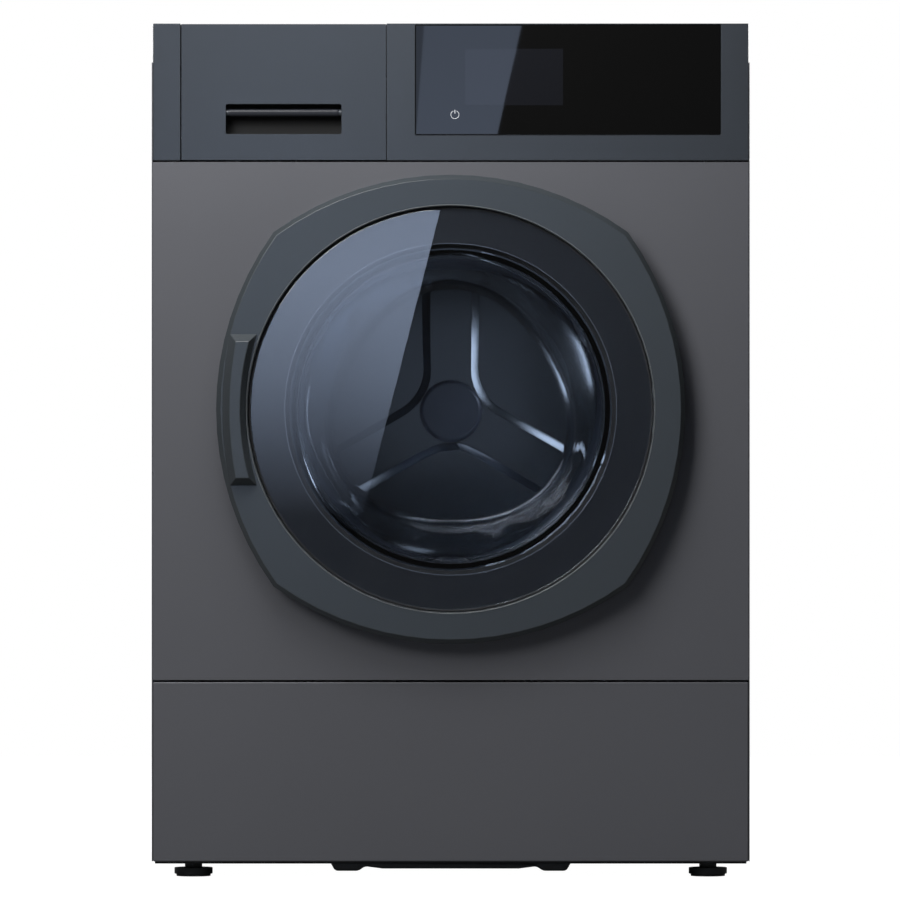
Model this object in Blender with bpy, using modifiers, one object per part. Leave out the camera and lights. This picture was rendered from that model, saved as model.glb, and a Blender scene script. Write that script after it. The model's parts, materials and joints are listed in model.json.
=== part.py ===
"""Front-loading washing machine, built from its separate pieces.

Run with: blender --background --python part.py
Metres. +Z is up, the front faces -Y, and X runs to the right as seen from the front.
The origin is under the middle of the machine, on the floor.
"""

import math

import bmesh
import bpy
from mathutils import Matrix, Vector

# Overall size. The depth is counted from the front panel's face to the rear cover.
CABINET_WIDTH = 0.595
CABINET_HEIGHT = 0.850
BODY_DEPTH = 0.650
GRIP_REACH = 0.040
FRONT_Y = GRIP_REACH - (BODY_DEPTH + GRIP_REACH) / 2
BACK_Y = FRONT_Y + BODY_DEPTH
HALF_WIDTH = CABINET_WIDTH / 2

# Fits shared by many pieces
GAP = 0.0003
OVERRUN = 0.010
SHEET = 0.0008
FINE_STEPS = 40
ROUND_STEPS = 24
SMALL_STEPS = 12

# Seams between the front pieces, from the floor up
CABINET_BOTTOM = 0.0161
BAND_HEIGHT = 0.1364
BAND_BOTTOM = CABINET_HEIGHT - BAND_HEIGHT
DOOR_DROP = 0.2476
DOOR_Z = BAND_BOTTOM - DOOR_DROP
KICK_DROP = 0.2713
KICK_TOP = DOOR_Z - KICK_DROP
KICK_SEAM = 0.0020
BAND_SEAM = 0.0015
TOP_COVER_HEIGHT = 0.0384
SIDE_TOP = CABINET_HEIGHT - TOP_COVER_HEIGHT

# Cabinet sheets
FRONT_HALF = HALF_WIDTH - SHEET - GAP
FRONT_PAN_DEPTH = 0.012
FRONT_PAN_WALL = 0.0010
RETURN_FLANGE = 0.026
REAR_COVER_RISE = 0.010
REAR_SHEET_Y = BACK_Y - REAR_COVER_RISE
REAR_COVER_WIDTH = 0.360
REAR_COVER_DROP = 0.251
REAR_COVER_OVER = 0.214
REAR_COVER_LOW = DOOR_Z - REAR_COVER_DROP
REAR_COVER_HIGH = DOOR_Z + REAR_COVER_OVER
REAR_COVER_LAND = 0.014
COVER_WALL = 0.0012
COVER_TOP_WALL = 0.016
COVER_SKIRT_WALL = 0.004
BRACE_Y = 0.010
BRACE_WIDTH = 0.036
BRACE_HEIGHT = 0.016
BRACE_WALL = 0.0015
BRACE_DROP = 0.004

# Base
BASE_FRONT_Y = FRONT_Y + 0.021
BASE_WALL_HEIGHT = 0.040
BASE_WALL = 0.0020
SKID_BOTTOM = 0.0058
SKID_CENTRE = 0.1034
SKID_TOP_HALF = 0.0176
SKID_FOOT_HALF = 0.0120
TRAY_EDGE_HALF = 0.086
TRAY_FLAT_HALF = 0.068
TRAY_LOW = 0.0081
TRAY_RISE = 0.0023
SKID_CLEAR_TOP = 0.0004
BRACKET_THICK = 0.0026

# Levelling feet
FOOT_INSET = 0.0405
FOOT_X = HALF_WIDTH - FOOT_INSET
BRACKET_ASIDE = 0.0095
BRACKET_WIDTH = 0.0095
BRACKET_INNER = FOOT_X + BRACKET_ASIDE
BRACKET_OUTER = BRACKET_INNER + BRACKET_WIDTH
FOOT_FRONT_Y = FRONT_Y + 0.044
FOOT_REAR_Y = BACK_Y - 0.060
FOOT_RADIUS = 0.0191
FOOT_SOLE_RADIUS = 0.0171
FOOT_SOLE = 0.0024
FOOT_DISC_TOP = 0.0090
FOOT_HEX = 0.0170
STUD_RADIUS = 0.0050
STUD_CLEAR = 0.0003
STUD_TOP = 0.062
NUT_RADIUS = 0.0110
NUT_HEIGHT = 0.034

# Control band
BAND_DEPTH = 0.022
BAND_WALL = 0.0020
FILLER_WIDTH = 0.0286
FILLER_SEAM = 0.0010
FILLER_RIGHT = FILLER_WIDTH - HALF_WIDTH
DRAWER_LEFT = FILLER_RIGHT + FILLER_SEAM
DRAWER_SEAM = 0.0005
DRAWER_TOP_CLEAR = 0.0006
GLASS_WIDTH = 0.3035
GLASS_SIDE = 0.0290
GLASS_UNDER = 0.0259
GLASS_OVER = 0.0017
FASCIA_MARGIN = 0.0289
GLASS_RIGHT = HALF_WIDTH - GLASS_SIDE
GLASS_LEFT = GLASS_RIGHT - GLASS_WIDTH
GLASS_LOW = BAND_BOTTOM + GLASS_UNDER
GLASS_HIGH = CABINET_HEIGHT - GLASS_OVER
FASCIA_LEFT = GLASS_LEFT - FASCIA_MARGIN
DRAWER_RIGHT = FASCIA_LEFT - DRAWER_SEAM
GLASS_THICK = 0.0030
MODULE_INSET = 0.004
MODULE_DEPTH = BAND_DEPTH - GLASS_THICK - BAND_WALL - 2 * GAP
MODULE_WALL = 0.0020
BOARD_THICK = 0.0016
BOARD_STANDOFF = 0.0060

# Drawer grip
GRIP_MARGIN_LEFT = 0.0440
GRIP_MARGIN_RIGHT = 0.0442
GRIP_UNDER = 0.0263
GRIP_HEIGHT = 0.0300
GRIP_LEFT = DRAWER_LEFT + GRIP_MARGIN_LEFT
GRIP_RIGHT = DRAWER_RIGHT - GRIP_MARGIN_RIGHT
GRIP_LOW = BAND_BOTTOM + GRIP_UNDER
GRIP_HIGH = GRIP_LOW + GRIP_HEIGHT
GRIP_DEPTH = 0.018
GRIP_CORNER = 0.0020
BAR_DROP = 0.0050
BAR_HEIGHT = 0.0072
BAR_HIGH = GRIP_HIGH - BAR_DROP
BAR_LOW = BAR_HIGH - BAR_HEIGHT
BAR_SETBACK = 0.0030

# Drawer and its housing
TRAY_WALL = 0.0020
TRAY_SIDE_CLEAR = 0.0030
TRAY_LENGTH = 0.180
TRAY_HEIGHT = 0.052
TRAY_DIVIDER_X_SHARES = (0.30, 0.66)
TRAY_BRIDGE_LENGTH = 0.030
HOUSING_WALL = 0.0020
HOUSING_LIFT = 0.0224
HOUSING_FLOOR_Z = BAND_BOTTOM + HOUSING_LIFT
HOUSING_RUNNER = 0.0030
HOUSING_RUNNER_WIDTH = 0.006
HOUSING_HEIGHT = 0.070
HOUSING_BACK_CLEAR = 0.010
HOUSING_SIDE_CLEAR = 0.0015
SIPHON_RADIUS = 0.010
SIPHON_HEIGHT = 0.030
SIPHON_TUBE_RADIUS = 0.005

# Door. The outline is four wide arcs; each passes the far point of its side and the two corners beside it.
RING_EXTREME = 0.233
RING_ARC_RADIUS = 0.300
RING_INNER_RADIUS = 0.202
RING_GAP = 0.0015
RING_THICK = 0.0265
RING_CHAMFER = 0.0045
RING_CHAMFER_DEPTH = 0.0050
RING_TAPER = 0.0080
RING_POINTS = 64
RING_BACK_Y = FRONT_Y - RING_GAP
RING_FACE_Y = RING_BACK_Y - RING_THICK
DOOR_GLASS_RADIUS = 0.200
DOOR_GLASS_THICK = 0.0040
DOOR_GLASS_SETBACK = 0.0015
FRAME_OUTER_RADIUS = 0.2012
FRAME_INNER_RADIUS = 0.1605
FRAME_REBATE_RADIUS = 0.1668
FRAME_LIP = 0.0080
BOWL_FLANGE_RADIUS = 0.1665
BOWL_MOUTH_RADIUS = 0.158
BOWL_END_RADIUS = 0.130
BOWL_DEPTH = 0.131
BOWL_SHORT = 0.004
BOWL_WALL = 0.0045

# Door grip, a raised block with sloping sides that follows the ring's left edge
HANDLE_UNDER = 0.0760
HANDLE_OVER = 0.0748
HANDLE_LOW = DOOR_Z - HANDLE_UNDER
HANDLE_HIGH = DOOR_Z + HANDLE_OVER
HANDLE_EDGE = 0.0060
HANDLE_LIP = 0.0010
HANDLE_SLOPE_LEFT = 0.0074
HANDLE_SLOPE_RIGHT = 0.0058
HANDLE_BASE_LEFT = HANDLE_EDGE - RING_EXTREME
HANDLE_BASE_RIGHT = -RING_INNER_RADIUS - HANDLE_LIP
HANDLE_FACE_LEFT = HANDLE_BASE_LEFT + HANDLE_SLOPE_LEFT
HANDLE_FACE_RIGHT = HANDLE_BASE_RIGHT - HANDLE_SLOPE_RIGHT
HANDLE_BEVEL = 0.0076
HANDLE_LEFT_CURVE = 0.370
HANDLE_RIGHT_CURVE = 0.260
HANDLE_ROWS = 12
HANDLE_FACE_Y = FRONT_Y - GRIP_REACH

# Door hinge and latch
HINGE_X = 0.222
HINGE_Y = FRONT_Y - 0.0165
PIN_RADIUS = 0.0030
PIN_CLEAR = 0.0004
KNUCKLE_RADIUS = 0.0055
KNUCKLE_HALF = 0.014
HINGE_RUN = 0.0015
ARM_WIDTH = 0.005
PLATE_LEFT = 0.2005
PLATE_RIGHT = 0.2155
PLATE_THICK = 0.0025
PLATE_HALF = 0.045
LEAF_LEFT = 0.2050
LEAF_END_HALF = 0.034
RING_POCKET_FRONT = 0.0065
RING_POCKET_BACK = 0.0110
RING_SWEEP_RADIUS = 0.0160
LATCH_X = -0.190
LATCH_Y = FRONT_Y - 0.0075
LATCH_PIN_RADIUS = 0.0035
LATCH_PIN_HALF = 0.013
LATCH_REACH = 0.028
LATCH_WIDTH = 0.005
LATCH_BARB = 0.003
LATCH_HALF = 0.004
LATCH_SWING = 0.0062
LOCK_HALF_HEIGHT = 0.035
LOCK_LEFT = -0.2080
LOCK_RIGHT = -0.1760
LOCK_DEPTH = 0.028
LOCK_WALL = 0.003

# Gasket
GASKET_WALL = 0.0030
GASKET_FRONT_RADIUS = 0.1690
GASKET_FOLD_RADIUS = 0.1790
GASKET_NECK_RADIUS = 0.1680
COLLAR_RADIUS = 0.1800
COLLAR_WALL = 0.0040
COLLAR_LENGTH = 0.022
CLAMP_THICK = 0.0024
CLAMP_WIDTH = 0.008

# Tub. Its axis runs along Y at the door's height.
TUB_RADIUS = 0.252
TUB_WALL = 0.004
TUB_FRONT_Y = -0.213
TUB_REAR_Y = 0.213
TUB_SPLIT_Y = -0.020
TUB_CORNER = 0.008
TUB_FLANGE = 0.006
TUB_FLANGE_WIDTH = 0.012
HUB_RADIUS = 0.062
HUB_REAR_Y = 0.272
BEARING_RADIUS = 0.036
TUB_RIBS = 6
TUB_RIB_WIDTH = 0.004
TUB_RIB_DEPTH = 0.024
LUG_RISE = 0.138
LUG_Z = DOOR_Z + LUG_RISE
LUG_THICK = 0.008
LUG_WIDTH = 0.030
LUG_INSET = 0.0145
LUG_REACH = HALF_WIDTH - LUG_INSET
SUMP_HALF = 0.055
SUMP_FRONT_Y = -0.200
SUMP_LENGTH = 0.150
SUMP_DROP = 0.022
SUMP_BOTTOM = DOOR_Z - TUB_RADIUS - SUMP_DROP
SUMP_WALL = 0.004
COUNTERWEIGHT_INNER = 0.192
COUNTERWEIGHT_INSET = 0.006
COUNTERWEIGHT_OUTER = TUB_RADIUS - COUNTERWEIGHT_INSET
COUNTERWEIGHT_DEPTH = 0.048
COUNTERWEIGHT_EDGE = 0.006
TOP_WEIGHT_HALF = 0.130
TOP_WEIGHT_LENGTH = 0.130
TOP_WEIGHT_Y = 0.110
TOP_WEIGHT_RISE = 0.054
TOP_WEIGHT_TOP = DOOR_Z + TUB_RADIUS + TOP_WEIGHT_RISE
TOP_WEIGHT_DEPTH = 0.110
HEATER_TUBE = 0.0034
HEATER_HALF = 0.018
HEATER_DROP = 0.0095
HEATER_Z = DOOR_Z - TUB_RADIUS - HEATER_DROP
HEATER_LENGTH = 0.115
HEATER_FLANGE_HALF = 0.030
HEATER_FLANGE_THICK = 0.005
HEATER_FLANGE_HEIGHT = 0.016

# Drum
DRUM_CLEAR = 0.012
DRUM_RADIUS = TUB_RADIUS - DRUM_CLEAR
DRUM_WALL = 0.0012
DRUM_FRONT_Y = -0.197
DRUM_BACK_Y = 0.160
DRUM_MOUTH_RADIUS = 0.176
DRUM_SHOULDER = 0.008
DRUM_LIP = 0.006
LIFTERS = 3
LIFTER_LENGTH = 0.270
LIFTER_BASE = 0.074
LIFTER_CREST = 0.026
LIFTER_HEIGHT = 0.052
LIFTER_SLOPE = 0.030
LIFTER_ROUND = 0.005
STAR_ARMS = 3
STAR_ARM_HALF = 0.028
STAR_INSET = 0.044
STAR_REACH = DRUM_RADIUS - STAR_INSET
STAR_FILLET = 0.050
STAR_TIP_SHARE = 0.30
STAR_RISE = 0.010
STAR_BEVEL = 0.004
CAP_RADIUS = 0.031
CAP_RISE = 0.010
CAP_EDGE = 0.003
SPIDER_THICK = 0.020
SPIDER_ROOT_SHARE = 0.9
SPIDER_TIP_SHARE = 0.5
SPIDER_HUB_RADIUS = 0.040
SPIDER_ARM_HALF = 0.018
SPIDER_TIP_HALF = 0.010
SHAFT_RADIUS = 0.015
SHAFT_CLEAR = 0.0003
SHAFT_END_Y = 0.315
PULLEY_RADIUS = 0.150
PULLEY_FRONT_Y = 0.286
PULLEY_WIDTH = 0.018
PULLEY_RIM = 0.010
PULLEY_WEB = 0.004
PULLEY_CROWN_SHARE = 0.1
PULLEY_HUB_RADIUS = 0.030
PULLEY_HOLES = 6
PULLEY_HOLE_RADIUS = 0.027
PULLEY_HOLE_CIRCLE = 0.085

# Motor
MOTOR_X = 0.140
MOTOR_DROP = 0.316
MOTOR_Z = DOOR_Z - MOTOR_DROP
MOTOR_RADIUS = 0.058
MOTOR_FRONT_Y = 0.130
MOTOR_REAR_Y = 0.268
MOTOR_CAP = 0.012
MOTOR_CAP_RADIUS = 0.046
MOTOR_SHAFT_RADIUS = 0.008
MOTOR_PULLEY_RADIUS = 0.0140
MOTOR_LUG_HALF = 0.010
MOTOR_LUG_WIDTH = 0.030
BELT_THICK = 0.004
BELT_ARC_POINTS = 12

# Suspension
SPRING_INSET = 0.0255
SPRING_X = HALF_WIDTH - SPRING_INSET
SPRING_RADIUS = 0.012
SPRING_WIRE = 0.0014
SPRING_TURNS = 7
SPRING_TURN_POINTS = 6
SPRING_TAIL = 0.018
DAMPER_X = 0.150
DAMPER_Y = 0.035
DAMPER_RADIUS = 0.016
DAMPER_BORE = 0.0105
DAMPER_DROP = 0.316
DAMPER_TOP = DOOR_Z - DAMPER_DROP
DAMPER_BORE_LOW = 0.036
DAMPER_FOOT = 0.022
ROD_RADIUS = 0.0100
ROD_LOW = 0.058

# Drain pump and its filter, behind the kick panel
PUMP_X = 0.062
PUMP_Z = 0.100
PUMP_RADIUS = 0.038
PUMP_BORE = 0.0285
PUMP_FRONT_Y = FRONT_Y + 0.030
PUMP_LENGTH = 0.105
PUMP_BORE_LENGTH = 0.075
PUMP_MOTOR_RADIUS = 0.028
PUMP_MOTOR_LENGTH = 0.050
PUMP_NECK_RADIUS = 0.014
PUMP_NECK_Y = FRONT_Y + 0.120
PUMP_NECK_TOP = 0.152
PUMP_STAND_HALF = 0.022
FILTER_RADIUS = 0.0280
FILTER_LENGTH = 0.060
FILTER_KNOB_RADIUS = 0.036
FILTER_KNOB_THICK = 0.008
FILTER_BAR_HALF = 0.004
FILTER_BAR_RISE = 0.008
HOSE_RADIUS = 0.013
HOSE_POINTS = 14
HOSE_SWAY = 0.012
HOSE_STRAIGHT_SHARE = 0.12

# Water inlet and lead gland, on the rear panel
VALVE_X = -0.200
VALVE_DROP = 0.080
VALVE_Z = CABINET_HEIGHT - VALVE_DROP
VALVE_BODY = 0.034
VALVE_LENGTH = 0.045
VALVE_STUB_RADIUS = 0.013
VALVE_BORE_RADIUS = 0.008
INLET_HOSE_RADIUS = 0.008
INLET_HOSE_DROP = 0.085
INLET_HOSE_Z = CABINET_HEIGHT - INLET_HOSE_DROP
GLAND_X = 0.220
GLAND_Z = CABINET_HEIGHT - VALVE_DROP
GLAND_RADIUS = 0.011
GLAND_BORE = 0.005
GLAND_FLANGE = 0.016
GLAND_FLANGE_THICK = 0.003

# Kick panel hinge line
KICK_WALL = 0.0020
KICK_AXIS_Y = FRONT_Y + 0.010
KICK_AXIS_Z = CABINET_BOTTOM + 0.006
PIVOT_SIZE = 0.05

AXIS_TURN = {
    "X": Matrix.Rotation(math.pi / 2, 4, "Y"),
    "Y": Matrix.Rotation(-math.pi / 2, 4, "X"),
    "Z": Matrix.Identity(4),
}
SHADE_ANGLE = math.radians(35)
ANODISED = ((0.075, 0.078, 0.084), 0.42, 0.55)
DARK_PLASTIC = ((0.060, 0.066, 0.074), 0.45, 0.10)
BLACK_PLASTIC = ((0.012, 0.012, 0.013), 0.55, 0.0)
ZINC = ((0.52, 0.53, 0.54), 0.38, 0.9)
STAINLESS = ((0.50, 0.51, 0.52), 0.28, 1.0)
SMOKED_GLASS = ((0.010, 0.011, 0.013), 0.06, 0.0)
CLEAR_GLASS = ((0.20, 0.22, 0.24), 0.05, 0.0)
RUBBER = ((0.13, 0.13, 0.135), 0.75, 0.0)
TUB_PLASTIC = ((0.42, 0.43, 0.44), 0.60, 0.0)
CONCRETE = ((0.35, 0.34, 0.33), 0.90, 0.0)
WHITE_PLASTIC = ((0.62, 0.64, 0.66), 0.45, 0.0)
CAST = ((0.33, 0.34, 0.35), 0.50, 0.9)


def clear_scene():
    """Empty the file, so that only this machine is in it."""
    for thing in list(bpy.data.objects):
        bpy.data.objects.remove(thing, do_unlink=True)
    for group in list(bpy.data.collections):
        bpy.data.collections.remove(group)


clear_scene()
PARTS = bpy.data.collections.new("washing_machine")
CUTTERS = bpy.data.collections.new("cutters")
for made in (PARTS, CUTTERS):
    bpy.context.scene.collection.children.link(made)


def material(name, look):
    """A Principled material from a colour, a roughness and a metallic value."""
    colour, roughness, metallic = look
    made = bpy.data.materials.new(name)
    made.use_nodes = True
    shader = made.node_tree.nodes["Principled BSDF"]
    shader.inputs["Base Color"].default_value = (*colour, 1.0)
    shader.inputs["Roughness"].default_value = roughness
    shader.inputs["Metallic"].default_value = metallic
    return made


def place(name, mesh, look=None):
    """Put a mesh in the scene as a part, or as a cutter when it has no look."""
    thing = bpy.data.objects.new(name, mesh)
    if look is None:
        CUTTERS.objects.link(thing)
        thing.hide_render = True
        thing.display_type = "WIRE"
    else:
        PARTS.objects.link(thing)
        mesh.materials.clear()
        mesh.materials.append(material(name, look))
        mesh.shade_smooth()
        mesh.set_sharp_from_angle(angle=SHADE_ANGLE)
    return thing


def settle(thing, outward=False):
    """Apply an object's modifiers and weld its loose seams. Outward also turns every face out."""
    graph = bpy.context.evaluated_depsgraph_get()
    mesh = bpy.data.meshes.new_from_object(thing.evaluated_get(graph))
    mesh.transform(thing.matrix_world)
    shape = bmesh.new()
    shape.from_mesh(mesh)
    bmesh.ops.remove_doubles(shape, verts=shape.verts, dist=GAP / 10)
    if outward:
        bmesh.ops.recalc_face_normals(shape, faces=shape.faces)
    shape.to_mesh(mesh)
    shape.free()
    bpy.data.objects.remove(thing, do_unlink=True)
    return mesh


def box_mesh(name, x, y, z):
    """A block between two X, two Y and two Z values."""
    shape = bmesh.new()
    bmesh.ops.create_cube(shape, size=1)
    spans = Vector((x[1] - x[0], y[1] - y[0], z[1] - z[0]))
    bmesh.ops.scale(shape, vec=spans, verts=shape.verts)
    middle = Vector(((x[0] + x[1]) / 2, (y[0] + y[1]) / 2, (z[0] + z[1]) / 2))
    bmesh.ops.translate(shape, vec=middle, verts=shape.verts)
    mesh = bpy.data.meshes.new(name)
    shape.to_mesh(mesh)
    shape.free()
    return mesh


def box(name, x, y, z, look=None):
    """A block as an object."""
    return place(name, box_mesh(name, x, y, z), look)


def rod(name, centre, radius, low, high, axis="Z", look=None, steps=SMALL_STEPS, end_radius=None):
    """A cylinder or a cone frustum along an axis. centre gives the two other coordinates."""
    shape = bmesh.new()
    far = radius if end_radius is None else end_radius
    bmesh.ops.create_cone(
        shape, cap_ends=True, segments=steps, radius1=radius, radius2=far, depth=high - low
    )
    middle = (low + high) / 2
    spot = {"X": (middle, *centre), "Y": (centre[0], middle, centre[1]), "Z": (*centre, middle)}[axis]
    bmesh.ops.transform(shape, matrix=AXIS_TURN[axis], verts=shape.verts)
    bmesh.ops.translate(shape, vec=Vector(spot), verts=shape.verts)
    mesh = bpy.data.meshes.new(name)
    shape.to_mesh(mesh)
    shape.free()
    return place(name, mesh, look)


def turned(name, centre, profile, axis="Y", look=None, steps=FINE_STEPS):
    """A closed profile of (radius, place along the axis) turned once round that axis."""
    mesh = bpy.data.meshes.new(name)
    on_axis = profile[0][0] == 0 and profile[-1][0] == 0
    count = len(profile)
    edges = [(i, i + 1) for i in range(count - 1)]
    if not on_axis:
        edges.append((count - 1, 0))
    mesh.from_pydata([(radius, 0, along) for radius, along in profile], edges, [])
    thing = bpy.data.objects.new(name, mesh)
    PARTS.objects.link(thing)
    screw = thing.modifiers.new("turn", "SCREW")
    screw.steps = steps
    screw.render_steps = steps
    screw.use_merge_vertices = True
    screw.merge_threshold = GAP / 10
    spot = {"X": (0, *centre), "Y": (centre[0], 0, centre[1]), "Z": (*centre, 0)}[axis]
    thing.matrix_world = Matrix.Translation(spot) @ AXIS_TURN[axis]
    bpy.context.view_layer.update()
    return place(name, settle(thing, outward=True), look)


def plate(name, outlines, low, high, axis="Y", look=None):
    """Flat outlines, the first solid and the others holes, given thickness along an axis.

    Outline points are (x, z) for axis Y, (x, y) for axis Z and (y, z) for axis X.
    """
    curve = bpy.data.curves.new(name, "CURVE")
    curve.dimensions = "2D"
    curve.fill_mode = "BOTH"
    curve.extrude = (high - low) / 2
    for outline in outlines:
        spline = curve.splines.new("POLY")
        spline.points.add(len(outline) - 1)
        for point, (across, up) in zip(spline.points, outline):
            point.co = (across, up, 0, 1)
        spline.use_cyclic_u = True
    thing = bpy.data.objects.new(name, curve)
    PARTS.objects.link(thing)
    middle = (low + high) / 2
    stand = Matrix.Rotation(math.pi / 2, 4, "X")
    lean = Matrix(((0, 0, 1, 0), (1, 0, 0, 0), (0, 1, 0, 0), (0, 0, 0, 1)))
    thing.matrix_world = {
        "X": Matrix.Translation((middle, 0, 0)) @ lean,
        "Y": Matrix.Translation((0, middle, 0)) @ stand,
        "Z": Matrix.Translation((0, 0, middle)),
    }[axis]
    bpy.context.view_layer.update()
    return place(name, settle(thing, outward=True), look)


def tube(name, points, radius, look, resolution=2):
    """A round bar along a line of points, with flat ends."""
    curve = bpy.data.curves.new(name, "CURVE")
    curve.dimensions = "3D"
    curve.bevel_depth = radius
    curve.bevel_resolution = resolution
    curve.use_fill_caps = True
    spline = curve.splines.new("POLY")
    spline.points.add(len(points) - 1)
    for point, spot in zip(spline.points, points):
        point.co = (*spot, 1)
    thing = bpy.data.objects.new(name, curve)
    PARTS.objects.link(thing)
    bpy.context.view_layer.update()
    return place(name, settle(thing, outward=True), look)


def pan(name, x, z, front, depth, wall, look, open_side="back"):
    """A tray of sheet: a block with one side open and walls turned in to their thickness."""
    directions = {"back": (0, 1, 0), "front": (0, -1, 0), "top": (0, 0, 1), "bottom": (0, 0, -1)}
    mesh = box_mesh(name, x, (front, front + depth), z)
    shape = bmesh.new()
    shape.from_mesh(mesh)
    aim = Vector(directions[open_side])
    gone = [face for face in shape.faces if face.normal.dot(aim) > math.cos(SHADE_ANGLE)]
    bmesh.ops.delete(shape, geom=gone, context="FACES_ONLY")
    shape.to_mesh(mesh)
    shape.free()
    thing = place(name, mesh, look)
    solid = thing.modifiers.new("wall", "SOLIDIFY")
    solid.thickness = wall
    solid.offset = -1
    solid.use_even_offset = True
    return thing


def combine(thing, tools, operation="DIFFERENCE", solver="EXACT"):
    """Cut tools from a piece, or join them to it, one after another. A joined tool becomes a helper."""
    for tool in tools:
        step = thing.modifiers.new(operation.lower(), "BOOLEAN")
        step.operation = operation
        step.solver = solver
        step.object = tool
    return thing


def cut(thing, *tools, solver="EXACT"):
    """Remove tools from a piece."""
    return combine(thing, tools, "DIFFERENCE", solver)


def join(thing, *tools, solver="EXACT"):
    """Add tools to a piece, which stays one body."""
    return combine(thing, tools, "UNION", solver)


def soften(thing, width, segments=1, angle=SHADE_ANGLE):
    """Bevel the edges that are sharper than an angle."""
    bevel = thing.modifiers.new("edges", "BEVEL")
    bevel.width = width
    bevel.segments = segments
    bevel.limit_method = "ANGLE"
    bevel.angle_limit = angle
    return thing


def ribbon(points, thickness):
    """The closed outline of a band of even thickness along a line of profile points."""
    left, right = [], []
    count = len(points)
    for i, here in enumerate(points):
        before = points[max(i - 1, 0)]
        after = points[min(i + 1, count - 1)]
        along = Vector((after[0] - before[0], after[1] - before[1])).normalized()
        side = Vector((-along.y, along.x)) * thickness / 2
        left.append((here[0] + side.x, here[1] + side.y))
        right.append((here[0] - side.x, here[1] - side.y))
    return left + right[::-1]


def ease(share):
    """A share from 0 to 1 that stays level at both ends, so that a hose leaves them straight."""
    held = min(max((share - HOSE_STRAIGHT_SHARE) / (1 - 2 * HOSE_STRAIGHT_SHARE), 0), 1)
    return held * held * (3 - 2 * held)


def circle(radius, centre=(0, 0), points=FINE_STEPS):
    """Points round a circle."""
    return [
        (
            centre[0] + radius * math.cos(2 * math.pi * i / points),
            centre[1] + radius * math.sin(2 * math.pi * i / points),
        )
        for i in range(points)
    ]


def rounded_box(x, z, corner, points=4):
    """The outline of a rectangle with round corners."""
    outline = []
    middles = ((x[1], z[1], 0), (x[0], z[1], 1), (x[0], z[0], 2), (x[1], z[0], 3))
    for px, pz, quarter in middles:
        cx = px - corner if quarter in (0, 3) else px + corner
        cz = pz - corner if quarter in (0, 1) else pz + corner
        for i in range(points + 1):
            angle = math.pi / 2 * (quarter + i / points)
            outline.append((cx + corner * math.cos(angle), cz + corner * math.sin(angle)))
    return outline


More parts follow.
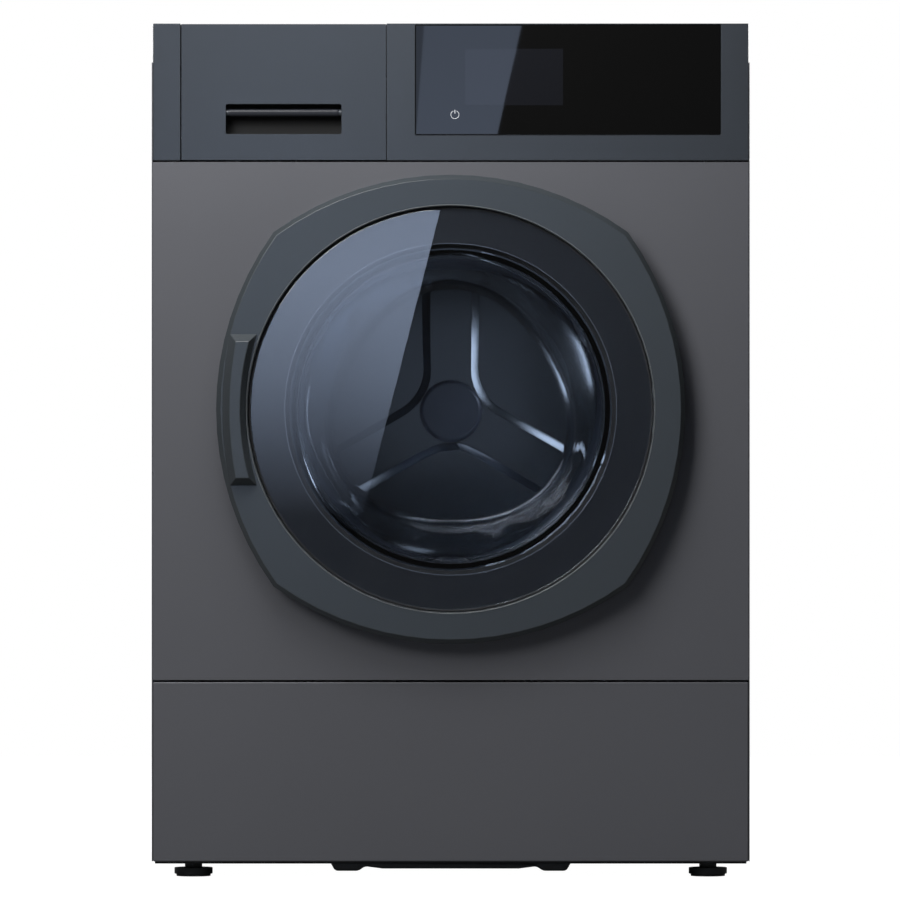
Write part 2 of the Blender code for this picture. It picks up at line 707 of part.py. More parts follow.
def cabinet_sheets():
    """Side panels, rear panel with its service cover, top cover and the brace under it."""
    flange_y = FRONT_Y + FRONT_PAN_DEPTH + GAP
    rear_inner = REAR_SHEET_Y - SHEET - GAP
    for side, word in ((-1, "left"), (1, "right")):
        outer, inner, turn_in = HALF_WIDTH, HALF_WIDTH - SHEET, HALF_WIDTH - RETURN_FLANGE
        outline = [
            (outer, FRONT_Y),
            (inner, FRONT_Y),
            (inner, flange_y),
            (turn_in, flange_y),
            (turn_in, flange_y + SHEET),
            (inner, flange_y + SHEET),
            (inner, rear_inner - SHEET),
            (turn_in, rear_inner - SHEET),
            (turn_in, rear_inner),
            (outer, rear_inner),
        ]
        outline = [(side * x, y) for x, y in outline]
        panel = plate("side_panel_" + word, [outline], CABINET_BOTTOM, SIDE_TOP - GAP, "Z", ANODISED)
        clear_x = sorted((side * inner, side * (turn_in - OVERRUN)))
        clear_y = (FRONT_Y + SHEET, FRONT_Y + BAND_DEPTH + OVERRUN)
        band_z = (BAND_BOTTOM - BAND_SEAM, CABINET_HEIGHT)
        hinge_z = (0, KICK_AXIS_Z + FRONT_PAN_DEPTH)
        cut(panel, *[box("flange_clearance", clear_x, clear_y, z) for z in (band_z, hinge_z)])
    opening_half = REAR_COVER_WIDTH / 2 - REAR_COVER_LAND
    wall = [
        (-HALF_WIDTH, CABINET_BOTTOM),
        (HALF_WIDTH, CABINET_BOTTOM),
        (HALF_WIDTH, SIDE_TOP - GAP),
        (-HALF_WIDTH, SIDE_TOP - GAP),
    ]
    window = rounded_box(
        (-opening_half, opening_half),
        (REAR_COVER_LOW + REAR_COVER_LAND, REAR_COVER_HIGH - REAR_COVER_LAND),
        REAR_COVER_LAND,
    )
    holes = [
        window,
        circle(VALVE_STUB_RADIUS + GAP, (VALVE_X, VALVE_Z), SMALL_STEPS),
        circle(GLAND_RADIUS + GAP, (GLAND_X, GLAND_Z), SMALL_STEPS),
    ]
    plate("rear_panel", [wall, *holes], REAR_SHEET_Y - SHEET, REAR_SHEET_Y, "Y", ZINC)
    cover_outline = rounded_box(
        (-REAR_COVER_WIDTH / 2, REAR_COVER_WIDTH / 2), (REAR_COVER_LOW, REAR_COVER_HIGH), REAR_COVER_LAND
    )
    base_y = REAR_SHEET_Y + GAP
    cover = plate("rear_cover", [cover_outline], base_y, BACK_Y, "Y", ZINC)
    shape = bmesh.new()
    shape.from_mesh(cover.data)
    middle_z = (REAR_COVER_LOW + REAR_COVER_HIGH) / 2
    x_share = 1 - 2 * REAR_COVER_RISE / REAR_COVER_WIDTH
    z_share = 1 - 2 * REAR_COVER_RISE / (REAR_COVER_HIGH - REAR_COVER_LOW)
    for vert in shape.verts:
        if vert.co.y > (base_y + BACK_Y) / 2:
            vert.co.x *= x_share
            vert.co.z = middle_z + (vert.co.z - middle_z) * z_share
    shape.to_mesh(cover.data)
    shape.free()
    hollow_half = REAR_COVER_WIDTH / 2 - REAR_COVER_RISE - COVER_WALL
    hollow = box(
        "rear_cover_hollow",
        (-hollow_half, hollow_half),
        (base_y - OVERRUN, BACK_Y - COVER_WALL),
        (REAR_COVER_LOW + REAR_COVER_RISE + COVER_WALL, REAR_COVER_HIGH - REAR_COVER_RISE - COVER_WALL),
    )
    cut(cover, hollow)
    top = pan(
        "top_cover",
        (-FRONT_HALF, FRONT_HALF),
        (SIDE_TOP, CABINET_HEIGHT),
        FRONT_Y + BAND_DEPTH + GAP,
        REAR_SHEET_Y - FRONT_Y - BAND_DEPTH - GAP,
        COVER_SKIRT_WALL,
        ANODISED,
        open_side="bottom",
    )
    inset = COVER_SKIRT_WALL / 2
    thicken = box(
        "top_cover_board",
        (-FRONT_HALF + inset, FRONT_HALF - inset),
        (FRONT_Y + BAND_DEPTH + GAP + inset, REAR_SHEET_Y - inset),
        (CABINET_HEIGHT - COVER_TOP_WALL, CABINET_HEIGHT - inset),
    )
    join(top, thicken)
    brace_half = HALF_WIDTH - SHEET - GAP
    brace_top = SIDE_TOP - GAP - BRACE_DROP
    pan(
        "cross_brace",
        (-brace_half, brace_half),
        (brace_top - BRACE_HEIGHT, brace_top),
        BRACE_Y - BRACE_WIDTH / 2,
        BRACE_WIDTH,
        BRACE_WALL,
        ZINC,
        open_side="top",
    )


def base():
    """Base pan with its two straps, the moulding with the two skids, and the four feet."""
    inner_half = HALF_WIDTH - SHEET - GAP
    rear = REAR_SHEET_Y - 2 * SHEET - 2 * GAP - SHEET
    tray = pan(
        "base_pan",
        (-inner_half, inner_half),
        (CABINET_BOTTOM, CABINET_BOTTOM + BASE_WALL_HEIGHT),
        BASE_FRONT_Y,
        rear - BASE_FRONT_Y,
        BASE_WALL,
        ZINC,
        open_side="top",
    )
    spots = [(side * FOOT_X, y) for y in (FOOT_FRONT_Y, FOOT_REAR_Y) for side in (-1, 1)]
    nuts = [
        rod("nut_boss", spot, NUT_RADIUS, CABINET_BOTTOM + BASE_WALL / 2, CABINET_BOTTOM + NUT_HEIGHT)
        for spot in spots
    ]
    strap_low = CABINET_BOTTOM - GAP - BRACKET_THICK
    straps = [
        box(
            "foot_strap",
            sorted((side * BRACKET_INNER, side * BRACKET_OUTER)),
            (BASE_FRONT_Y, rear - OVERRUN),
            (strap_low, CABINET_BOTTOM + BASE_WALL / 2),
        )
        for side in (-1, 1)
    ]
    join(tray, *nuts, *straps)
    bore = STUD_RADIUS + STUD_CLEAR
    cut(tray, *[rod("stud_hole", spot, bore, -OVERRUN, STUD_TOP + OVERRUN) for spot in spots])
    names = ("foot_front_left", "foot_front_right", "foot_rear_left", "foot_rear_right")
    hex_radius = FOOT_HEX / 2 / math.cos(math.pi / 6)
    for name, spot in zip(names, spots):
        profile = [
            (0, FOOT_DISC_TOP),
            (FOOT_RADIUS, FOOT_DISC_TOP - GAP),
            (FOOT_RADIUS, FOOT_SOLE),
            (FOOT_SOLE_RADIUS, FOOT_SOLE),
            (FOOT_SOLE_RADIUS, 0),
            (0, 0),
        ]
        foot = turned(name, spot, profile, "Z", BLACK_PLASTIC, ROUND_STEPS)
        overlap = FOOT_SOLE
        head = rod("foot_hexagon", spot, hex_radius, FOOT_DISC_TOP - overlap, CABINET_BOTTOM - GAP, steps=6)
        stud = rod("foot_stud", spot, STUD_RADIUS, FOOT_SOLE, STUD_TOP)
        join(foot, head, stud)
    outline = [
        (SKID_CENTRE + SKID_TOP_HALF, CABINET_BOTTOM - GAP),
        (SKID_CENTRE + SKID_TOP_HALF, CABINET_BOTTOM - SKID_CLEAR_TOP - GAP),
        (SKID_CENTRE + SKID_FOOT_HALF, SKID_BOTTOM),
        (SKID_CENTRE - SKID_FOOT_HALF, SKID_BOTTOM),
        (TRAY_EDGE_HALF, TRAY_LOW + TRAY_RISE),
        (TRAY_FLAT_HALF, TRAY_LOW),
    ]
    outline += [(-x, z) for x, z in reversed(outline)]
    plate("base_skids", [outline], BASE_FRONT_Y, rear - OVERRUN, "Y", BLACK_PLASTIC)


def front_and_kick_panels():
    """Front panel with the door opening, and the kick panel that hinges at its foot."""
    panel = pan(
        "front_panel",
        (-FRONT_HALF, FRONT_HALF),
        (KICK_TOP + KICK_SEAM, BAND_BOTTOM - BAND_SEAM),
        FRONT_Y,
        FRONT_PAN_DEPTH,
        FRONT_PAN_WALL,
        ANODISED,
    )
    mouth = GASKET_FRONT_RADIUS + GASKET_WALL / 2 + GAP
    wall = FRONT_PAN_WALL
    collar = turned(
        "opening_collar",
        (0, DOOR_Z),
        [
            (mouth - wall, FRONT_Y + wall / 4),
            (mouth + wall, FRONT_Y + wall / 4),
            (mouth + wall, FRONT_Y + FRONT_PAN_DEPTH),
            (mouth - wall, FRONT_Y + FRONT_PAN_DEPTH),
        ],
    )
    join(panel, collar, solver="MANIFOLD")
    mouth_end = FRONT_Y + FRONT_PAN_DEPTH + OVERRUN
    opening = rod("door_mouth", (0, DOOR_Z), mouth, FRONT_Y - OVERRUN, mouth_end, "Y", None, FINE_STEPS)
    slot = (LATCH_X - LATCH_WIDTH / 2 - LATCH_BARB - HINGE_RUN, LATCH_X + LATCH_WIDTH / 2 + LATCH_SWING)
    slot_half = LATCH_HALF + HINGE_RUN
    slot_z = (DOOR_Z - slot_half, DOOR_Z + slot_half)
    latch_slot = box("latch_slot", slot, (FRONT_Y - OVERRUN, FRONT_Y + OVERRUN), slot_z)
    cut(panel, opening, latch_slot, solver="MANIFOLD")
    kick = pan(
        "kick_panel",
        (-FRONT_HALF, FRONT_HALF),
        (CABINET_BOTTOM, KICK_TOP),
        FRONT_Y,
        FRONT_PAN_DEPTH,
        KICK_WALL,
        ANODISED,
    )
    return panel, kick


def control_band():
    """Filler strip, control fascia, its glass, and the display module with its board behind."""
    low, high = BAND_BOTTOM, CABINET_HEIGHT
    pan("fascia_filler", (-FRONT_HALF, FILLER_RIGHT), (low, high), FRONT_Y, BAND_DEPTH, BAND_WALL, ANODISED)
    fascia = pan(
        "control_fascia", (FASCIA_LEFT, FRONT_HALF), (low, high), FRONT_Y, BAND_DEPTH, BAND_WALL, ANODISED
    )
    window_x = (GLASS_LEFT - GAP, GLASS_RIGHT + GAP)
    window_z = (GLASS_LOW - GAP, GLASS_HIGH + GAP)
    land = GLASS_THICK
    ledge_x = (window_x[0] - land, window_x[1] + land)
    ledge_z = (window_z[0] - land, CABINET_HEIGHT - BAND_WALL / 2)
    ledge = box("glass_ledge", ledge_x, (FRONT_Y + BAND_WALL / 2, FRONT_Y + GLASS_THICK + BAND_WALL), ledge_z)
    opening = box(
        "module_opening",
        (GLASS_LEFT + land, GLASS_RIGHT - land),
        (FRONT_Y - OVERRUN, FRONT_Y + OVERRUN),
        (GLASS_LOW + land, GLASS_HIGH - land),
    )
    seat_y = FRONT_Y + GLASS_THICK + GAP
    pocket = box("glass_pocket", window_x, (FRONT_Y - OVERRUN, seat_y), window_z)
    join(fascia, ledge)
    cut(fascia, pocket, opening)
    glass = box(
        "display_glass",
        (GLASS_LEFT, GLASS_RIGHT),
        (FRONT_Y, FRONT_Y + GLASS_THICK),
        (GLASS_LOW, GLASS_HIGH),
        SMOKED_GLASS,
    )
    soften(glass, GLASS_THICK / 8)
    module_front = FRONT_Y + GLASS_THICK + BAND_WALL + GAP
    module_x = (GLASS_LEFT + MODULE_INSET, GLASS_RIGHT - MODULE_INSET)
    module_z = (GLASS_LOW + MODULE_INSET, GLASS_HIGH - MODULE_INSET)
    module = pan(
        "display_module",
        module_x,
        module_z,
        module_front,
        MODULE_DEPTH,
        MODULE_WALL,
        BLACK_PLASTIC,
        open_side="front",
    )
    inner = MODULE_WALL + GAP
    board_y = module_front + MODULE_DEPTH - MODULE_WALL - GAP - BOARD_STANDOFF
    board = box(
        "control_board",
        (module_x[0] + inner, module_x[1] - inner),
        (board_y - BOARD_THICK, board_y),
        (module_z[0] + inner, module_z[1] - inner),
    )
    chips = []
    for i in range(1, 5):
        middle = module_x[0] + (module_x[1] - module_x[0]) * i / 5
        half = MODULE_DEPTH / 3
        centre_z = (module_z[0] + module_z[1]) / 2
        span = (board_y - BOARD_THICK / 2, module_front + MODULE_DEPTH - MODULE_WALL / 2)
        across, up = (middle - half, middle + half), (centre_z - half, centre_z + half)
        chips.append(box("board_part", across, span, up))
    join(module, board, *chips)


def dispenser():
    """Drawer front with its grip, the open tray behind it, the siphon cap, and the fixed housing."""
    low, high = BAND_BOTTOM + DRAWER_TOP_CLEAR, CABINET_HEIGHT - DRAWER_TOP_CLEAR
    front = pan(
        "drawer_front", (DRAWER_LEFT, DRAWER_RIGHT), (low, high), FRONT_Y, BAND_DEPTH, BAND_WALL, ANODISED
    )
    wall = BAND_WALL
    cup = box(
        "grip_cup",
        (GRIP_LEFT - wall, GRIP_RIGHT + wall),
        (FRONT_Y + wall / 2, FRONT_Y + GRIP_DEPTH + wall),
        (GRIP_LOW - wall, GRIP_HIGH + wall),
    )
    recess = plate(
        "grip_recess",
        [rounded_box((GRIP_LEFT, GRIP_RIGHT), (GRIP_LOW, GRIP_HIGH), GRIP_CORNER)],
        FRONT_Y - OVERRUN,
        FRONT_Y + GRIP_DEPTH,
    )
    bar_radius = (BAR_HIGH - BAR_LOW) / 2
    bar = rod(
        "grip_bar",
        (FRONT_Y + BAR_SETBACK + bar_radius, (BAR_LOW + BAR_HIGH) / 2),
        bar_radius,
        GRIP_LEFT - wall / 2,
        GRIP_RIGHT + wall / 2,
        "X",
    )
    join(front, cup)
    cut(front, recess)
    join(front, bar)
    housing_x = (DRAWER_LEFT + HOUSING_SIDE_CLEAR, DRAWER_RIGHT - HOUSING_SIDE_CLEAR)
    housing_front = FRONT_Y + BAND_DEPTH + GAP
    tray_front = housing_front
    tray_low = HOUSING_FLOOR_Z + HOUSING_WALL + HOUSING_RUNNER + GAP
    inset = HOUSING_WALL + TRAY_SIDE_CLEAR
    tray_x = (housing_x[0] + inset, housing_x[1] - inset)
    tray = pan(
        "drawer_tray",
        tray_x,
        (tray_low, tray_low + TRAY_HEIGHT),
        tray_front,
        TRAY_LENGTH,
        TRAY_WALL,
        WHITE_PLASTIC,
        open_side="top",
    )
    tray_back = tray_front + TRAY_LENGTH
    width = tray_x[1] - tray_x[0]
    dividers = [
        box(
            "tray_divider",
            (tray_x[0] + width * share - TRAY_WALL / 2, tray_x[0] + width * share + TRAY_WALL / 2),
            (tray_front + TRAY_WALL / 2, tray_back - TRAY_WALL / 2),
            (tray_low + TRAY_WALL / 2, tray_low + TRAY_HEIGHT - TRAY_WALL),
        )
        for share in TRAY_DIVIDER_X_SHARES
    ]
    join(tray, *dividers)
    siphon_x = tray_x[0] + width * sum(TRAY_DIVIDER_X_SHARES) / 2
    siphon_y = tray_back - TRAY_BRIDGE_LENGTH
    tube_top = tray_low + SIPHON_HEIGHT
    stem = rod(
        "siphon_tube", (siphon_x, siphon_y), SIPHON_TUBE_RADIUS, tray_low + TRAY_WALL / 2, tube_top
    )
    join(tray, stem)
    cap_wall = TRAY_WALL
    cap_low = tray_low + TRAY_WALL + GAP
    turned(
        "siphon_cap",
        (siphon_x, siphon_y),
        [
            (0, tube_top + GAP + cap_wall),
            (SIPHON_RADIUS, tube_top + GAP + cap_wall / 2),
            (SIPHON_RADIUS, cap_low),
            (SIPHON_RADIUS - cap_wall, cap_low),
            (SIPHON_RADIUS - cap_wall, tube_top + GAP),
            (0, tube_top + GAP),
        ],
        "Z",
        DARK_PLASTIC,
        SMALL_STEPS,
    )
    housing_depth = TRAY_LENGTH + HOUSING_BACK_CLEAR + HOUSING_WALL
    housing = pan(
        "dispenser_housing",
        housing_x,
        (HOUSING_FLOOR_Z, HOUSING_FLOOR_Z + HOUSING_HEIGHT),
        housing_front,
        housing_depth,
        HOUSING_WALL,
        TUB_PLASTIC,
        open_side="front",
    )
    runners = [
        box(
            "runner",
            (x, x + HOUSING_RUNNER_WIDTH),
            (housing_front, housing_front + housing_depth - HOUSING_WALL / 2),
            (HOUSING_FLOOR_Z + HOUSING_WALL / 2, HOUSING_FLOOR_Z + HOUSING_WALL + HOUSING_RUNNER),
        )
        for x in (tray_x[0], tray_x[1] - HOUSING_RUNNER_WIDTH)
    ]
    join(housing, *runners)
    return siphon_x, siphon_y, housing_front + housing_depth


def ring_reach(angle):
    """Distance from the door's centre to the four-arc outline at an angle."""
    offset = RING_ARC_RADIUS - RING_EXTREME
    quarter = math.pi / 2
    local = (angle + quarter / 2) % quarter - quarter / 2
    return math.sqrt(RING_ARC_RADIUS**2 - (offset * math.sin(local)) ** 2) - offset * math.cos(local)


def ring_mesh():
    """The door ring: a loft of sections between the four-arc outline and the round hole."""
    rows = [
        (RING_CHAMFER, RING_FACE_Y),
        (0, RING_FACE_Y + RING_CHAMFER_DEPTH),
        (RING_TAPER, RING_BACK_Y),
    ]
    shape = bmesh.new()
    loops = []
    for inset, y in rows:
        loop = []
        for i in range(RING_POINTS):
            angle = 2 * math.pi * i / RING_POINTS
            reach = ring_reach(angle) - inset
            loop.append(shape.verts.new((reach * math.cos(angle), y, DOOR_Z + reach * math.sin(angle))))
        loops.append(loop)
    for y in (RING_BACK_Y, RING_FACE_Y):
        loop = []
        for i in range(RING_POINTS):
            angle = 2 * math.pi * i / RING_POINTS
            x, z = RING_INNER_RADIUS * math.cos(angle), RING_INNER_RADIUS * math.sin(angle)
            loop.append(shape.verts.new((x, y, DOOR_Z + z)))
        loops.append(loop)
    for loop, following in zip(loops, loops[1:] + loops[:1]):
        for i in range(RING_POINTS):
            after = (i + 1) % RING_POINTS
            shape.faces.new((loop[i], loop[after], following[after], following[i]))
    bmesh.ops.recalc_face_normals(shape, faces=shape.faces)
    mesh = bpy.data.meshes.new("door_ring")
    shape.to_mesh(mesh)
    shape.free()
    return mesh


def door_ring():
    """The ring with the pockets in its back for the hinge."""
    ring = place("door_ring", ring_mesh(), DARK_PLASTIC)
    right = RING_EXTREME + OVERRUN
    back = (HINGE_Y + RING_POCKET_BACK, RING_BACK_Y + OVERRUN)
    plate_half = PLATE_HALF + HINGE_RUN
    plate_pocket = box(
        "plate_pocket", (PLATE_LEFT - HINGE_RUN, right), back, (DOOR_Z - plate_half, DOOR_Z + plate_half)
    )
    sweep_half = KNUCKLE_HALF + HINGE_RUN
    sweep = rod(
        "arm_sweep", (HINGE_X, HINGE_Y), RING_SWEEP_RADIUS, DOOR_Z - sweep_half, DOOR_Z + sweep_half
    )
    front_stop = box(
        "sweep_front",
        (HINGE_X - 2 * RING_SWEEP_RADIUS, HINGE_X + 2 * RING_SWEEP_RADIUS),
        (HINGE_Y - 2 * RING_SWEEP_RADIUS, HINGE_Y - RING_POCKET_FRONT),
        (DOOR_Z - 2 * sweep_half, DOOR_Z + 2 * sweep_half),
    )
    cut(sweep, front_stop)
    leaf_half = LEAF_END_HALF + GAP
    leaf_pocket = box(
        "leaf_pocket",
        (LEAF_LEFT - GAP, HINGE_X + PIN_RADIUS + 2 * GAP),
        (HINGE_Y - RING_POCKET_FRONT, RING_BACK_Y - OVERRUN / 4),
        (DOOR_Z - leaf_half, DOOR_Z + leaf_half),
    )
    cut(ring, plate_pocket, sweep, leaf_pocket)


def door_handle():
    """The raised grip: sloping sides on a base that bends with the ring's left edge."""
    middle = (HANDLE_LOW + HANDLE_HIGH) / 2
    base_y = RING_FACE_Y - GAP

    def bend(z, curve):
        return curve - math.sqrt(curve**2 - (z - middle) ** 2)

    shape = bmesh.new()
    rows = []
    for i in range(HANDLE_ROWS + 1):
        share = i / HANDLE_ROWS
        base_z = HANDLE_LOW + (HANDLE_HIGH - HANDLE_LOW) * share
        face_low, face_high = HANDLE_LOW + HANDLE_BEVEL, HANDLE_HIGH - HANDLE_BEVEL
        face_z = face_low + (face_high - face_low) * share
        left_base, left_face = bend(base_z, HANDLE_LEFT_CURVE), bend(face_z, HANDLE_LEFT_CURVE)
        right_base, right_face = bend(base_z, HANDLE_RIGHT_CURVE), bend(face_z, HANDLE_RIGHT_CURVE)
        rows.append(
            [
                shape.verts.new((HANDLE_BASE_LEFT + left_base, base_y, base_z)),
                shape.verts.new((HANDLE_FACE_LEFT + left_face, HANDLE_FACE_Y, face_z)),
                shape.verts.new((HANDLE_FACE_RIGHT + right_face, HANDLE_FACE_Y, face_z)),
                shape.verts.new((HANDLE_BASE_RIGHT + right_base, base_y, base_z)),
            ]
        )
    for row, following in zip(rows, rows[1:]):
        for i in range(4):
            after = (i + 1) % 4
            shape.faces.new((row[i], row[after], following[after], following[i]))
    shape.faces.new(rows[0])
    shape.faces.new(rows[-1])
    bmesh.ops.recalc_face_normals(shape, faces=shape.faces)
    mesh = bpy.data.meshes.new("door_handle")
    shape.to_mesh(mesh)
    shape.free()
    place("door_handle", mesh, DARK_PLASTIC)


def door_inside():
    """Glass disc, inner frame, glass bowl, hinge leaf with its pin, and the latch hook."""
    centre = (0, DOOR_Z)
    glass_front = RING_FACE_Y + DOOR_GLASS_SETBACK
    glass_back = glass_front + DOOR_GLASS_THICK
    edge = DOOR_GLASS_THICK / 4
    turned(
        "door_glass",
        centre,
        [
            (0, glass_front),
            (DOOR_GLASS_RADIUS - edge, glass_front),
            (DOOR_GLASS_RADIUS, glass_front + edge),
            (DOOR_GLASS_RADIUS, glass_back),
            (0, glass_back),
        ],
        "Y",
        SMOKED_GLASS,
    )
    frame_front = glass_back + GAP
    frame_back = RING_BACK_Y - GAP
    seat_y = frame_back - FRAME_LIP
    frame = turned(
        "door_inner_frame",
        centre,
        [
            (FRAME_OUTER_RADIUS, frame_front),
            (FRAME_OUTER_RADIUS, frame_back),
            (FRAME_INNER_RADIUS, frame_back),
            (FRAME_INNER_RADIUS, seat_y),
            (FRAME_REBATE_RADIUS, seat_y),
            (FRAME_REBATE_RADIUS, frame_front),
        ],
        "Y",
        BLACK_PLASTIC,
    )
    pin_clear = LATCH_PIN_RADIUS + GAP
    pocket = box(
        "latch_pocket",
        (LATCH_X - LATCH_PIN_RADIUS - HINGE_RUN, LATCH_X + LATCH_WIDTH / 2 + LATCH_SWING / 2),
        (LATCH_Y - LATCH_PIN_RADIUS - GAP, frame_back + OVERRUN),
        (DOOR_Z - LATCH_HALF - HINGE_RUN, DOOR_Z + LATCH_HALF + HINGE_RUN),
    )
    pin_hole = rod(
        "latch_pin_hole",
        (LATCH_X, LATCH_Y),
        pin_clear,
        DOOR_Z - LATCH_PIN_HALF - GAP,
        DOOR_Z + LATCH_PIN_HALF + GAP,
    )
    plate_half = PLATE_HALF + HINGE_RUN
    plate_pocket = box(
        "frame_plate_pocket",
        (PLATE_LEFT - HINGE_RUN, RING_EXTREME),
        (HINGE_Y + RING_POCKET_BACK, RING_BACK_Y + OVERRUN),
        (DOOR_Z - plate_half, DOOR_Z + plate_half),
    )
    cut(frame, pocket, pin_hole, plate_pocket)
    back_y = FRONT_Y + BOWL_DEPTH - BOWL_SHORT
    flange_front = seat_y - GAP - BOWL_WALL
    depth = back_y - seat_y
    wall = BOWL_WALL
    outer = [
        (BOWL_FLANGE_RADIUS, flange_front),
        (BOWL_FLANGE_RADIUS, seat_y - GAP),
        (BOWL_MOUTH_RADIUS, seat_y - GAP),
    ]
    side_shares = ((0.02, 0.15), (0.30, 0.45), (0.62, 0.72), (0.86, 0.88), (1.0, 0.96))
    for inward, along in side_shares:
        radius = BOWL_MOUTH_RADIUS - (BOWL_MOUTH_RADIUS - BOWL_END_RADIUS) * inward
        outer.append((radius, seat_y + depth * along))
    outer.append((BOWL_END_RADIUS - wall, back_y - wall / 4))
    outer.append((0, back_y))
    inner = [(max(radius - wall, 0), y - wall / 2) for radius, y in outer[3:-2]]
    inner.append((BOWL_END_RADIUS - 2 * wall, back_y - wall))
    inner = [(BOWL_MOUTH_RADIUS - wall, flange_front), *inner, (0, back_y - wall)]
    turned("door_bowl", centre, [(0, back_y), *outer[-2::-1], *inner], "Y", CLEAR_GLASS)
    leaf_y = (HINGE_Y - RING_POCKET_FRONT + GAP, RING_BACK_Y - OVERRUN / 4 - GAP)
    leaf_x = (LEAF_LEFT, HINGE_X + PIN_RADIUS)
    inner_end = KNUCKLE_HALF + HINGE_RUN + GAP
    lower = box("hinge_leaf", leaf_x, leaf_y, (DOOR_Z - LEAF_END_HALF, DOOR_Z - inner_end), ZINC)
    upper = box("leaf_cheek", leaf_x, leaf_y, (DOOR_Z + inner_end, DOOR_Z + LEAF_END_HALF))
    pin_end = LEAF_END_HALF - GAP
    pin = rod("hinge_pin", (HINGE_X, HINGE_Y), PIN_RADIUS, DOOR_Z - pin_end, DOOR_Z + pin_end)
    join(lower, upper, pin)
    hook = rod(
        "latch_hook",
        (LATCH_X, LATCH_Y),
        LATCH_PIN_RADIUS,
        DOOR_Z - LATCH_PIN_HALF,
        DOOR_Z + LATCH_PIN_HALF,
        look=STAINLESS,
    )
    half = LATCH_WIDTH / 2
    tip = LATCH_Y + LATCH_REACH
    arm = plate(
        "latch_arm",
        [
            [
                (LATCH_X - half, LATCH_Y),
                (LATCH_X + half, LATCH_Y),
                (LATCH_X + half, tip - LATCH_BARB),
                (LATCH_X, tip),
                (LATCH_X - half - LATCH_BARB, tip - 2 * LATCH_BARB),
                (LATCH_X - half, tip - 2 * LATCH_BARB),
            ]
        ],
        DOOR_Z - LATCH_HALF,
        DOOR_Z + LATCH_HALF,
        "Z",
    )
    join(hook, arm)


def hinge_bracket():
    """The fixed half of the hinge: a plate on the front panel, a cranked arm and the knuckle."""
    base_y = FRONT_Y - GAP
    x_plate = (PLATE_LEFT, PLATE_RIGHT)
    bracket = box(
        "hinge_bracket",
        x_plate,
        (base_y - PLATE_THICK, base_y),
        (DOOR_Z - PLATE_HALF, DOOR_Z + PLATE_HALF),
        ZINC,
    )
    low, high = DOOR_Z - KNUCKLE_HALF, DOOR_Z + KNUCKLE_HALF
    toward = Vector((PLATE_LEFT + ARM_WIDTH, base_y - PLATE_THICK / 2)) - Vector((HINGE_X, HINGE_Y))
    side = Vector((-toward.y, toward.x)).normalized() * ARM_WIDTH / 2
    foot = Vector((HINGE_X, HINGE_Y)) + toward
    root = Vector((HINGE_X, HINGE_Y))
    outline = [tuple(root + side), tuple(foot + side), tuple(foot - side), tuple(root - side)]
    arm = plate("hinge_arm", [outline], low, high, "Z")
    knuckle = rod("hinge_knuckle", (HINGE_X, HINGE_Y), KNUCKLE_RADIUS, low, high)
    bore = rod("pin_bore", (HINGE_X, HINGE_Y), PIN_RADIUS + PIN_CLEAR, low - OVERRUN, high + OVERRUN)
    trim = box(
        "arm_trim", (PLATE_LEFT - OVERRUN, PLATE_RIGHT + OVERRUN), (base_y, base_y + OVERRUN), (low, high)
    )
    join(bracket, arm, knuckle)
    cut(bracket, bore, trim)


def door_lock():
    """The lock's case behind the front panel, hollow where the hook goes in and swings."""
    front = FRONT_Y + FRONT_PAN_WALL + GAP
    case = box(
        "door_lock",
        (LOCK_LEFT, LOCK_RIGHT),
        (front, front + LOCK_DEPTH),
        (DOOR_Z - LOCK_HALF_HEIGHT, DOOR_Z + LOCK_HALF_HEIGHT),
        BLACK_PLASTIC,
    )
    cavity_x = (
        LATCH_X - LATCH_WIDTH / 2 - LATCH_BARB - 2 * HINGE_RUN,
        LATCH_X + LATCH_WIDTH / 2 + LATCH_SWING,
    )
    half = LATCH_HALF + 2 * HINGE_RUN
    cavity = box(
        "lock_cavity",
        cavity_x,
        (front - OVERRUN, front + LOCK_DEPTH - LOCK_WALL),
        (DOOR_Z - half, DOOR_Z + half),
    )
    round_clear = rod(
        "mouth_clearance",
        (0, DOOR_Z),
        GASKET_FOLD_RADIUS + GASKET_WALL,
        FRONT_Y,
        front + 2 * LOCK_DEPTH,
        "Y",
        None,
        FINE_STEPS,
    )
    cut(case, cavity, round_clear)


def gasket():
    """The bellows between the front panel and the tub, and the band that clamps it."""
    front = FRONT_Y + 3 * GASKET_WALL / 4
    rear = TUB_FRONT_Y - GASKET_WALL / 2 - GAP
    sleeve = COLLAR_RADIUS + GASKET_WALL / 2 + GAP
    span = rear - front
    path_shares = (
        (GASKET_FRONT_RADIUS, 0.0),
        (GASKET_FRONT_RADIUS, 0.19),
        (GASKET_FOLD_RADIUS, 0.26),
        (GASKET_FOLD_RADIUS, 0.37),
        (GASKET_NECK_RADIUS, 0.46),
        (GASKET_NECK_RADIUS, 0.60),
        (sleeve, 0.72),
        (sleeve, 1.0),
    )
    path = [(radius, front + span * share) for radius, share in path_shares]
    turned("door_gasket", (0, DOOR_Z), ribbon(path, GASKET_WALL), "Y", RUBBER)
    inner = sleeve + GASKET_WALL / 2 + GAP
    middle = TUB_FRONT_Y - COLLAR_LENGTH / 2
    turned(
        "gasket_clamp",
        (0, DOOR_Z),
        [
            (inner, middle - CLAMP_WIDTH / 2),
            (inner + CLAMP_THICK, middle - CLAMP_WIDTH / 4),
            (inner + CLAMP_THICK, middle + CLAMP_WIDTH / 4),
            (inner, middle + CLAMP_WIDTH / 2),
        ],
        "Y",
        STAINLESS,
    )


